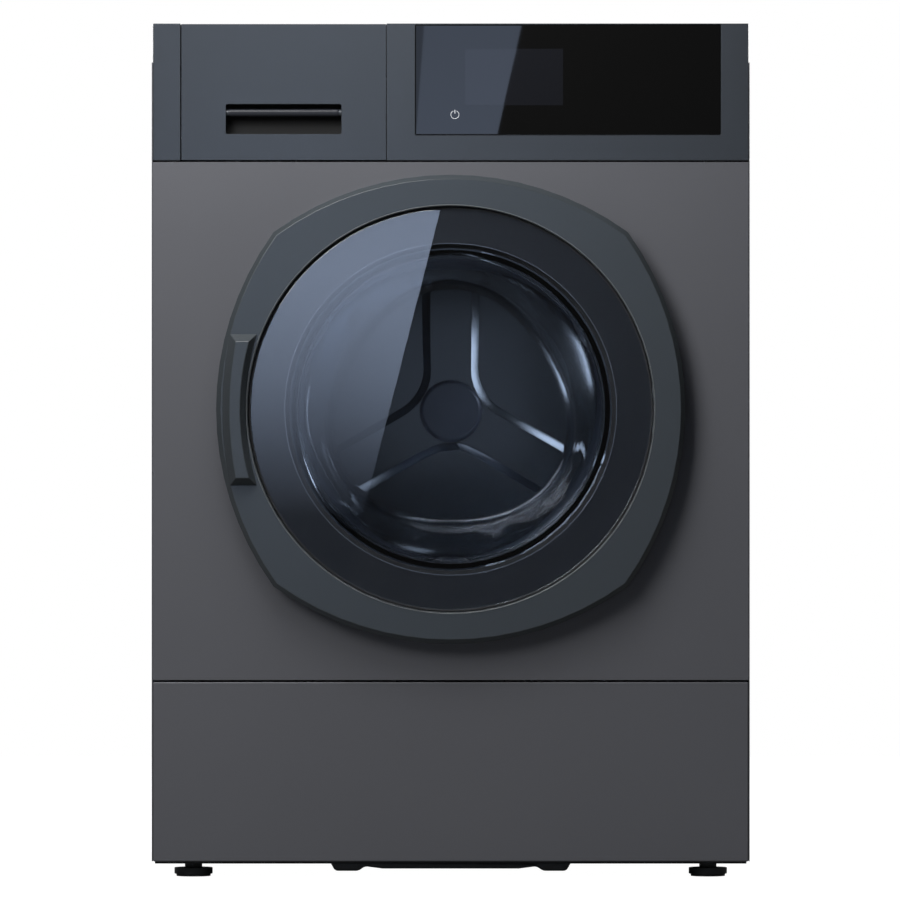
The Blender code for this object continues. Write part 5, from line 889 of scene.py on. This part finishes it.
@dataclass
class ControlBand:
    """The band above the front panel: fascia, filler strip, display and drawer.

    Attributes:
        edge: Rounding of the fascia pieces.
        glass_edge: Rounding of the display glass.
        screen: Left, right, lower and upper edge of the screen behind the glass.
        sign: Middle of the power sign.
        sign_radius: Its radius.
        sign_stroke: Width of its line.
        grip: Left, right, lower and upper edge of the drawer's grip recess.
        grip_depth: Depth of that recess.
        liner: Thickness of the near-black liner in the recess, whose dark colour is painted shade.
        bar: Lower and upper edge of the bar across the recess.
        bar_inset: Distance of the bar's ends from the recess's ends.
    """

    edge: float = 0.0007
    glass_edge: float = 0.0005
    screen: tuple[float, float, float, float] = (0.0141, 0.1118, 0.7686, 0.8248)
    sign: tuple[float, float] = (0.0042, 0.7592)
    sign_radius: float = 0.0040
    sign_stroke: float = 0.0007
    grip: tuple[float, float, float, float] = (-0.2239, -0.1086, 0.7399, 0.7699)
    grip_depth: float = 0.018
    liner: float = 0.0006
    bar: tuple[float, float] = (0.7577, 0.7649)
    bar_inset: float = 0.0014

    def build(self, fitter: Fitter) -> None:
        """Finish the band's pieces."""
        for node in ("fascia_filler", "control_fascia", "drawer_front"):
            fitter.refine(node, "fascia_coat", self.edge)
        fitter.refine("display_glass", "black_gloss", self.glass_edge)
        self._screen(fitter)
        self._grip(fitter)
        fitter.paint("display_module", "black_plastic")
        fitter.paint("dispenser_housing", "tub_plastic")
        fitter.paint("drawer_tray", "white_plastic")
        fitter.paint("siphon_cap", "dark_plastic")

    def _screen(self, fitter: Fitter) -> None:
        """Lay the faint screen window and the power sign on the display glass."""
        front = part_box("display_glass")[0].y
        left, right, bottom, top = self.screen
        corners = ((left, front - HAIR / 2, bottom), (right, front + HAIR, top))
        window = Bench.block("display_screen", *corners, HAIR / 4)
        fitter.seat(window, "display_glass", "screen_gloss", False)
        x, z = self.sign
        bpy.ops.object.select_all(action="DESELECT")
        bpy.ops.mesh.primitive_circle_add(vertices=48, radius=self.sign_radius, location=(x, front, z))
        sign = bpy.context.object
        sign.name = "power_sign"
        bpy.ops.transform.rotate(value=math.pi / 2, orient_axis="X", center_override=(x, front, z))
        bpy.ops.object.transform_apply(location=True, rotation=True, scale=True)
        gap = self.sign_radius * 0.32
        Bench.choose(sign, lambda corner: corner.co.z > z and abs(corner.co.x - x) < gap, "vertices")
        bpy.ops.mesh.delete(type="VERT")
        Bench.mode("OBJECT")
        stroke = self.sign_stroke
        bpy.ops.object.convert(target="CURVE")
        sign.data.bevel_depth = stroke / 2
        sign.data.bevel_resolution = 1
        bpy.ops.object.convert(target="MESH")
        bar = Bench.block(
            "power_bar",
            (x - stroke / 2, front - stroke / 2, z + self.sign_radius * 0.25),
            (x + stroke / 2, front + stroke / 4, z + self.sign_radius * 1.2),
            stroke / 6,
        )
        Bench.hold(sign)
        bar.select_set(True)
        bpy.ops.object.join()
        Bench.smooth(sign)
        fitter.seat(sign, "display_glass", "symbol_print", False)

    def _grip(self, fitter: Fitter) -> None:
        """Line the drawer's recessed grip with a near-black sheet, painted shade for the dark inside it, and
        lay the rounded bar across it.
        """
        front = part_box("drawer_front")[0].y
        left, right, bottom, top = self.grip
        skin = self.liner
        low = (left + HAIR, front + skin, bottom + HAIR)
        high = (right - HAIR, front + self.grip_depth - HAIR, top - HAIR)
        # the liner's near-black colour paints the shade deep inside the grip recess
        liner = Bench.block("drawer_grip_painted_shade_liner", low, high, 0.0)
        Bench.choose(liner, lambda face: face.normal.y < FACING_FRONT)
        bpy.ops.mesh.delete(type="FACE")
        bpy.ops.mesh.select_all(action="SELECT")
        bpy.ops.mesh.flip_normals()
        Bench.mode("OBJECT")
        Bench.modify(liner, "SOLIDIFY", thickness=skin, offset=-1.0)
        Bench.round_edges(liner, skin / 4)
        fitter.seat(liner, "drawer_front", "grip_painted_shade", False)
        bottom, top = self.bar
        inset = self.bar_inset
        low = (left + inset, front + 2 * inset - HAIR, bottom - HAIR)
        high = (right - inset, front + self.grip_depth / 2, top + HAIR)
        bar = Bench.block("drawer_grip_bar", low, high, (top - bottom) * 0.44, 6)
        fitter.seat(bar, "drawer_front", "bar_plastic", False)


@dataclass
class Door:
    """The swinging door: ring, grip, printed pane, bowl, frame and catch.

    Attributes:
        ring_edge: Rounding of the ring's edges.
        ring_weld: Corners of the ring nearer than this are joined before rounding.
        seam_gap: Gap between the pane and the line round it.
        seam_line: Width of that line, a pale chamfer whose colour is a painted highlight.
        grip_edge: Rounding of the grip's edges.
        pane_radius: Radius of the flat glass.
        print_radius: Inner radius of the black printed border.
        rim_width: Width of the paler line at the border's inner edge, a painted highlight.
        ripple: Height of the slow waves in the pressed bowl.
        ripple_size: Size of such a wave.
        ripple_from: Share of the bowl's depth where they begin.
        draw_in: Share by which the bowl's end is narrower at its three flat sides.
        steps: Vertices round each turned piece.
    """

    ring_edge: float = 0.0012
    ring_weld: float = 0.0007
    seam_gap: float = 0.0017
    seam_line: float = 0.0011
    grip_edge: float = 0.0008
    pane_radius: float = 0.1990
    print_radius: float = 0.1650
    rim_width: float = 0.0006
    ripple: float = 0.0006
    ripple_size: float = 0.085
    ripple_from: float = 0.20
    draw_in: float = 0.12
    steps: int = 192

    def build(self, fitter: Fitter) -> None:
        """Finish the door's pieces."""
        fitter.refine("door_ring", "door_plastic", self.ring_edge, 3, self.ring_weld)
        self._lay_painted_highlight(fitter)
        fitter.refine("door_handle", "door_plastic", self.grip_edge, 3)
        self._pane(fitter)
        self._bowl(fitter)
        fitter.refine("door_inner_frame", "black_plastic", 0.0004)
        fitter.paint("hinge_leaf", "zinc_sheet")
        fitter.paint("latch_hook", "stainless")
        fitter.paint("door_lock", "black_plastic")

    def _pane(self, fitter: Fitter) -> None:
        """Make the flat glass, the black print behind its rim, and a paler line at the print's inner edge as
        a painted highlight.
        """
        low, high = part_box("door_glass")
        front, back = low.y, high.y
        round_off = (back - front) / 5
        radius = self.pane_radius
        profile = (
            (0, front),
            (radius - round_off, front),
            (radius - round_off * 0.3, front + round_off * 0.3),
            (radius, front + round_off),
            (radius, back - HAIR),
            (0, back - HAIR),
        )
        pane = Bench.turned("door_pane", profile, (0, DOOR_Z), self.steps)
        Bench.smooth(pane, PANE_CREASE)
        pane.visible_shadow = False
        fitter.seat(pane, "door_glass", "door_pane_glass")
        # the second plate is a paler ring at the print's inner edge, a painted highlight
        prints = (
            ("door_pane_print", self.print_radius, radius - HAIR, "black_print"),
            ("door_pane_painted_highlight", self.print_radius - self.rim_width, self.print_radius - HAIR / 4, "print_painted_highlight"),
        )
        for name, inner, outer, finish in prints:
            profile = ((inner, back - HAIR / 2), (outer, back - HAIR / 2), (outer, back), (inner, back))
            plate = Bench.turned(name, profile, (0, DOOR_Z), self.steps)
            Bench.smooth(plate)
            fitter.seat(plate, "door_glass", finish, False)

    def _lay_painted_highlight(self, fitter: Fitter) -> None:
        """Lay a thin pale chamfer round the inner edge of the ring, lighter than the ring as a painted
        highlight.
        """
        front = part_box("door_ring")[0].y
        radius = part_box("door_glass")[1].x + self.seam_gap
        proud = self.seam_line / 3
        chamfer = (
            (radius, front + self.seam_line - proud),
            (radius + self.seam_line, front - proud),
            (radius + self.seam_line + proud, front),
            (radius + self.seam_line, front + self.seam_line),
            (radius, front + self.seam_line * 2),
        )
        line = Bench.turned("door_ring_painted_highlight", chamfer, (0, DOOR_Z), self.steps)
        Bench.smooth(line)
        fitter.seat(line, "door_ring", "painted_highlight_edge", False)

    def _bowl(self, fitter: Fitter) -> None:
        """Make the glass bowl with its rolled mouth and its thick rounded end."""
        low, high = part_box("door_bowl")
        front, back = low.y, high.y
        depth = back - front
        shares = (
            (0.1665, 0.000), (0.1665, 0.030), (0.1585, 0.045), (0.1570, 0.120), (0.1535, 0.300),
            (0.1490, 0.470), (0.1445, 0.640), (0.1405, 0.780), (0.1375, 0.870), (0.1350, 0.930),
            (0.1325, 0.975), (0.1290, 0.995), (0.1230, 1.000), (0.0, 1.0),
        )
        outer = [(radius, front + depth * share) for radius, share in shares]
        inner_shares = (
            (0.0, 0.962), (0.1210, 0.962), (0.1262, 0.952), (0.1293, 0.925), (0.1320, 0.870), (0.1355, 0.780),
            (0.1400, 0.640), (0.1450, 0.470), (0.1490, 0.300), (0.1520, 0.120), (0.1535, 0.000),
        )
        inner = [(radius, front + depth * share) for radius, share in inner_shares]
        profile = [*reversed(outer), *reversed(inner)]
        bowl = Bench.turned("door_bowl_glass", profile, (0, DOOR_Z), self.steps)
        self._draw_in(bowl, front, back)
        start = front + depth * self.ripple_from
        Bench.ripple(bowl, self.ripple, self.ripple_size, lambda spot: spot.y > start)
        Bench.smooth(bowl, BOWL_CREASE)
        bowl.visible_shadow = False
        fitter.seat(bowl, "door_bowl", "bowl_glass")

    def _draw_in(self, bowl: bpy.types.Object, front: float, back: float) -> None:
        """Draw the bowl's side in at three places, more and more towards its end.

        Args:
            bowl: The turned bowl.
            front: Where its mouth lies.
            back: Where its end lies.
        """
        for corner in bowl.data.vertices:
            share = min(max((corner.co.y - front) / (back - front), 0.0), 1.0)
            turn = math.atan2(corner.co.z - DOOR_Z, corner.co.x) - math.pi / 2
            scale = 1 - self.draw_in * share * share * (0.5 - 0.5 * math.cos(3 * turn))
            corner.co.x *= scale
            corner.co.z = DOOR_Z + (corner.co.z - DOOR_Z) * scale


@dataclass
class Drum:
    """The washing drum behind the door, with the gasket round its mouth.

    Attributes:
        shoulder_width: Width of the slope round the star's face.
        shoulder_depth: How far that slope falls.
        toe_width: Width of the slope where the star meets the floor round it.
        toe_depth: How far that slope rises.
        floor_depth: Least depth of that floor under the star's face.
        star_round: Rounding of the star's edges.
        cap_scale: How much wider the cap is than its solid.
        cap_rim: Width of the hub cap's rim, and of the slope inside it.
        cap_dish: Depth of the cap's dish.
        cap_round: Rounding of the hub cap.
        sheet_edge: Rounding of the drum's sheet and of the gasket.
        gasket_lip: How far behind the gasket's front the start point handed to Fitter.stretch lies; stretch
            doesn't use it.
        gasket_cuff: How far before its clamp the end point handed to Fitter.stretch lies; stretch doesn't use
            it.
    """

    shoulder_width: float = 0.0030
    shoulder_depth: float = 0.0022
    toe_width: float = 0.0042
    toe_depth: float = 0.0036
    floor_depth: float = 0.0080
    star_round: float = 0.0018
    cap_scale: float = 1.06
    cap_rim: float = 0.0028
    cap_dish: float = 0.0022
    cap_round: float = 0.0013
    sheet_edge: float = 0.0008
    gasket_lip: float = 0.006
    gasket_cuff: float = 0.004

    def build(self, fitter: Fitter) -> None:
        """Finish the drum, its back and the gasket."""
        fitter.refine("drum_shell", "drum_steel", self.sheet_edge)
        self._star(fitter)
        self._hub(fitter)
        low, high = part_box("door_gasket")
        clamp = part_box("gasket_clamp")[0].y
        start = Vector((0, low.y + self.gasket_lip, high.z))
        end = Vector((0, clamp - self.gasket_cuff, high.z))
        fitter.stretch("door_gasket", "gasket_rubber", self.sheet_edge, start, end)
        fitter.paint("gasket_clamp", "stainless")
        fitter.paint("drum_spider", "cast_aluminium")
        fitter.paint("drum_pulley", "cast_aluminium")

    def _star(self, fitter: Fitter) -> None:
        """Give the pressed star of the drum's back broad soft shoulders."""
        face_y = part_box("drum_back")[0].y
        piece = Bench.copy_node("drum_back", "drum_back_finished")
        Bench.choose(piece, lambda face: face.normal.y < FACING_FRONT and face.center.y < face_y + HAIR)
        bpy.ops.transform.translate(value=(0, self.shoulder_depth, 0))
        bpy.ops.mesh.inset(thickness=self.shoulder_width, depth=self.shoulder_depth)
        deep = face_y + self.floor_depth
        Bench.choose(piece, lambda face: face.normal.y < FACING_FRONT and face.center.y > deep)
        bpy.ops.mesh.inset(thickness=self.toe_width, depth=0)
        Bench.mode("OBJECT")
        floors = [face for face in piece.data.polygons if face.select]
        floor_y = floors[0].center.y
        inner = {index for face in floors for index in face.vertices}
        Bench.mode("EDIT")
        bpy.ops.mesh.select_mode(type="VERT")
        outer = {corner.index for corner in piece.data.vertices} - inner
        Bench.choose(piece, lambda c: abs(c.co.y - floor_y) < HAIR and c.index in outer, "vertices")
        bpy.ops.transform.translate(value=(0, -self.toe_depth, 0))
        bpy.ops.mesh.select_mode(type="FACE")
        Bench.mode("OBJECT")
        Bench.round_edges(piece, self.star_round, 3)
        fitter.seat(piece, "drum_back", "drum_star_steel")

    def _hub(self, fitter: Fitter) -> None:
        """Dish the hub cap, with a raised rim round it."""
        face_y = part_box("hub_cap")[0].y
        piece = Bench.copy_node("hub_cap", "hub_cap_finished")
        Bench.choose(piece, lambda face: True)
        bpy.ops.transform.resize(value=(self.cap_scale, 1, self.cap_scale))
        Bench.choose(piece, lambda face: face.normal.y < FACING_FRONT and face.center.y < face_y + HAIR)
        bpy.ops.mesh.inset(thickness=self.cap_rim, depth=0)
        bpy.ops.mesh.inset(thickness=self.cap_rim, depth=-self.cap_dish)
        Bench.mode("OBJECT")
        Bench.round_edges(piece, self.cap_round, 4)
        fitter.seat(piece, "hub_cap", "hub_plastic")


@dataclass
class RunningGear:
    """Tub, weights, motor, pump and hoses: everything that is hidden inside.

    Attributes:
        fixed_share: Share of a spring's or hose's height at each end that places the end points handed to
            Fitter.stretch, which doesn't use them.
    """

    fixed_share: float = 0.08

    def build(self, fitter: Fitter) -> None:
        """Give every inner node its finish."""
        looks = {
            "tub_plastic": ("tub_front", "tub_rear"),
            "concrete": ("front_counterweight", "top_counterweight"),
            "stainless": ("bearing_sleeve", "heater", "motor_pulley", "damper_rod_left", "damper_rod_right"),
            "black_plastic": ("damper_cylinder_left", "damper_cylinder_right"),
            "cast_aluminium": ("motor_housing",),
            "white_plastic": ("drain_pump", "inlet_valve"),
            "dark_plastic": ("pump_filter",),
            "rubber": ("inlet_hose", "drive_belt"),
        }
        for finish, nodes in looks.items():
            for node in nodes:
                fitter.paint(node, finish)
        hung = {
            "suspension_spring_left": "stainless",
            "suspension_spring_right": "stainless",
            "dispenser_hose": "rubber",
            "sump_hose": "rubber",
        }
        for node, finish in hung.items():
            low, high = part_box(node)
            give = (high.z - low.z) * self.fixed_share
            ends = [Vector((0, 0, high.z - give)), Vector((0, 0, low.z + give))]
            if node == "sump_hose":
                ends.reverse()  # its upper end is the tub's
            fitter.stretch(node, finish, 0.0, *ends)


@dataclass
class Feet:
    """Four levelling feet.

    Attributes:
        edge: Rounding of the plastic.
    """

    edge: float = 0.0006

    def build(self, fitter: Fitter) -> None:
        """Finish the feet."""
        for end in ("front", "rear"):
            for side in ("left", "right"):
                fitter.refine(f"foot_{end}_{side}", "foot_plastic", self.edge)


@dataclass
class Studio:
    """Camera, lights, floor and the reflected card.

    Attributes:
        distance: Camera's distance in front of the origin.
        height: Height of the middle of the picture.
        aside: Sideways place of the middle of the picture.
        view_width: Width seen at the front panel.
        front: The front panel's place along Y.
        strip: Where the dimmer strip at the display's left would reach the floor.
        slant: Sideways lean of that strip's edge.
        strip_low: Height on the glass above which the strip shows.
        strip_dim: Share of the card's glow that the strip takes away.
        glass: Place of the two glasses along Y.
        fill: Strength of the surround as the machine is lit by it.
        outline: The card's corners, as X and Z of the glass that reflects them.
        glows: Height on the glass and strength of the card's glow there.
    """

    distance: float = 10.0
    height: float = 0.4256
    aside: float = -0.0007
    view_width: float = 0.8955
    front: float = -0.305
    strip: float = -0.0870
    slant: float = 0.071
    strip_low: float = 0.725
    strip_dim: float = 0.5
    glass: float = -0.3315
    fill: float = 0.03
    outline: Profile = (
        (-0.45, 0.90), (0.0818, 0.90), (0.0455, 0.735), (0.012, 0.715),
        (-0.0100, 0.665), (-0.0800, 0.390), (-0.1350, 0.175), (-0.45, 0.175),
    )
    glows: Profile = (
        (0.360, 0.0), (0.420, 1.35), (0.500, 3.80), (0.560, 5.25),
        (0.600, 6.0), (0.665, 6.0), (0.715, 2.2), (0.900, 1.85),
    )

    def build(self) -> None:
        """Set the scene up."""
        self._camera()
        self._world()
        self._floor()
        self._lights()
        self._card()
        bpy.context.scene.view_settings.view_transform = "Standard"

    def _camera(self) -> None:
        """Add a long lens square to the front."""
        data = bpy.data.cameras.new("long_lens")
        data.sensor_width = 36.0
        data.lens = data.sensor_width * (self.distance + self.front) / self.view_width
        data.clip_end = 60.0
        camera = bpy.data.objects.new("camera", data)
        camera.location = (self.aside, -self.distance, self.height)
        camera.rotation_euler = (math.pi / 2, 0, 0)
        bpy.context.scene.collection.objects.link(camera)
        bpy.context.scene.camera = camera

    def _world(self) -> None:
        """Make a white surround that lights the machine softly."""
        world = bpy.data.worlds.new("surround")
        world.use_nodes = True
        bpy.context.scene.world = world
        bench = NodeBench(world.node_tree)
        path = bench.add("LightPath")
        shader = world.node_tree.nodes["Background"]
        shader.inputs["Color"].default_value = (1, 1, 1, 1)
        rest = bench.sum("MULTIPLY", bench.sum("SUBTRACT", 1.0, path.outputs["Is Camera Ray"]), self.fill)
        bench.link(bench.sum("ADD", path.outputs["Is Camera Ray"], rest), shader.inputs["Strength"])

    @staticmethod
    def _floor() -> None:
        """Lay a pale floor that nearly vanishes into the surround."""
        bpy.ops.object.select_all(action="DESELECT")
        bpy.ops.mesh.primitive_plane_add(size=7.0, location=(0, 0, 0))
        floor = bpy.context.object
        floor.name = "studio_floor"
        made, bench, shader = blank("pale_floor")
        bench.fill(shader, Base_Color=(0.16, 0.16, 0.16, 1), Roughness=0.9, Emission_Color=(1, 1, 1, 1))
        path = bench.add("LightPath")
        bench.link(path.outputs["Is Camera Ray"], shader.inputs["Emission Strength"])
        floor.data.materials.append(made)

    def _lights(self) -> None:
        """Add the soft boxes."""
        boxes = (
            ("key_box", (-0.37, -1.05, 1.50), (0, -0.3, 0.6), 0.6, 8.7),
            ("top_box", (-0.05, -0.62, 1.12), (0, -0.3, 0.6), 0.35, 1.7),
            ("over_box", (-0.30, -0.42, 1.30), (-0.05, -0.34, 0.7), 0.3, 1.6),
            ("front_box", (-1.8, -3.2, 2.2), (0, -0.3, 0.5), 1.6, 60.0),
            ("back_right", (1.9, 2.1, 1.5), (0.2, 0.2, 0.42), 1.2, 62.0),
            ("back_left", (-1.9, 2.1, 1.5), (-0.2, 0.2, 0.42), 1.2, 48.0),
            ("drum_side", (0.162, 0.085, 0.525), (-0.02, 0.155, 0.48), 0.06, 0.060),
            ("drum_low", (-0.045, 0.090, 0.290), (-0.08, 0.155, 0.39), 0.04, 0.008),
            ("drum_fill", (0.00, -0.09, 0.495), (0.0, 0.15, 0.47), 0.18, 0.019),
        )
        for name, spot, target, size, power in boxes:
            light = bpy.data.lights.new(name, "AREA")
            light.size = size
            light.energy = power
            lamp = bpy.data.objects.new(name, light)
            lamp.location = spot
            lamp.rotation_euler = (Vector(target) - Vector(spot)).to_track_quat("-Z", "Y").to_euler()
            if name.startswith("drum"):
                lamp.visible_camera = False
                lamp.visible_transmission = False
            lamp.visible_glossy = name not in ("top_box", "over_box")
            bpy.context.scene.collection.objects.link(lamp)

    def _card(self) -> None:
        """Stand a glowing card behind the camera, whose slanted edge shows in the two glasses."""
        reach = self.distance + 2.0
        share = (reach + self.glass + self.distance + self.glass) / (self.distance + self.glass)

        def behind(x: float, z: float) -> tuple[float, float]:
            """Place on the card that a point of the glass reflects."""
            return self.aside + (x - self.aside) * share, self.height + (z - self.height) * share

        corners = [behind(x, z) for x, z in self.outline]
        mesh = bpy.data.meshes.new("reflected_card")
        mesh.from_pydata([(x, -reach, z) for x, z in corners], [], [tuple(range(len(corners)))])
        card = bpy.data.objects.new("reflected_card", mesh)
        bpy.context.scene.collection.objects.link(card)
        made, bench, shader = blank("card_glow")
        made.node_tree.nodes.remove(shader)
        glow = bench.add("Emission", Color=(0.585, 0.72, 1.0, 1.0))
        place = bench.add("TexCoord")
        split = bench.add("SeparateXYZ")
        bench.link(place.outputs["Object"], split.inputs[0])
        level = split.outputs["Z"]
        total: object = self.glows[0][1]
        for (lower, weaker), (upper, stronger) in zip(self.glows, self.glows[1:]):
            low, high = (behind(0, z)[1] for z in (lower, upper))
            step = bench.add("MapRange", From_Min=low, From_Max=high, To_Max=stronger - weaker)
            bench.link(level, step.inputs["Value"])
            total = bench.sum("ADD", step.outputs[0], total)
        start = behind(self.strip, 0)[0] + self.slant * self.height * (share - 1)
        edge = bench.sum("ADD", bench.sum("MULTIPLY", level, self.slant), start)
        beside = bench.sum("LESS_THAN", split.outputs["X"], edge)
        above = bench.sum("GREATER_THAN", level, behind(0, self.strip_low)[1])
        dim = bench.sum("MULTIPLY", bench.sum("MULTIPLY", beside, above), self.strip_dim)
        strength = bench.sum("MULTIPLY", total, bench.sum("SUBTRACT", 1.0, dim))
        bench.link(strength, glow.inputs["Strength"])
        bench.link(glow.outputs[0], made.node_tree.nodes["Material Output"].inputs["Surface"])
        mesh.materials.append(made)
        for ray in ("camera", "diffuse", "shadow", "transmission", "volume_scatter"):
            setattr(card, f"visible_{ray}", False)


def main() -> None:
    """Build the finished machine and its studio."""
    logging.basicConfig(level=logging.INFO, format="%(name)s: %(message)s")
    fitter = Fitter(Palette(GroupShelf()))
    for assembly in (Cabinet(), RearFittings(), ControlBand(), Door(), Drum(), RunningGear(), Feet()):
        LOG.info("building %s", type(assembly).__name__)
        assembly.build(fitter)
    Studio().build()


if __name__ == "__main__":
    main()
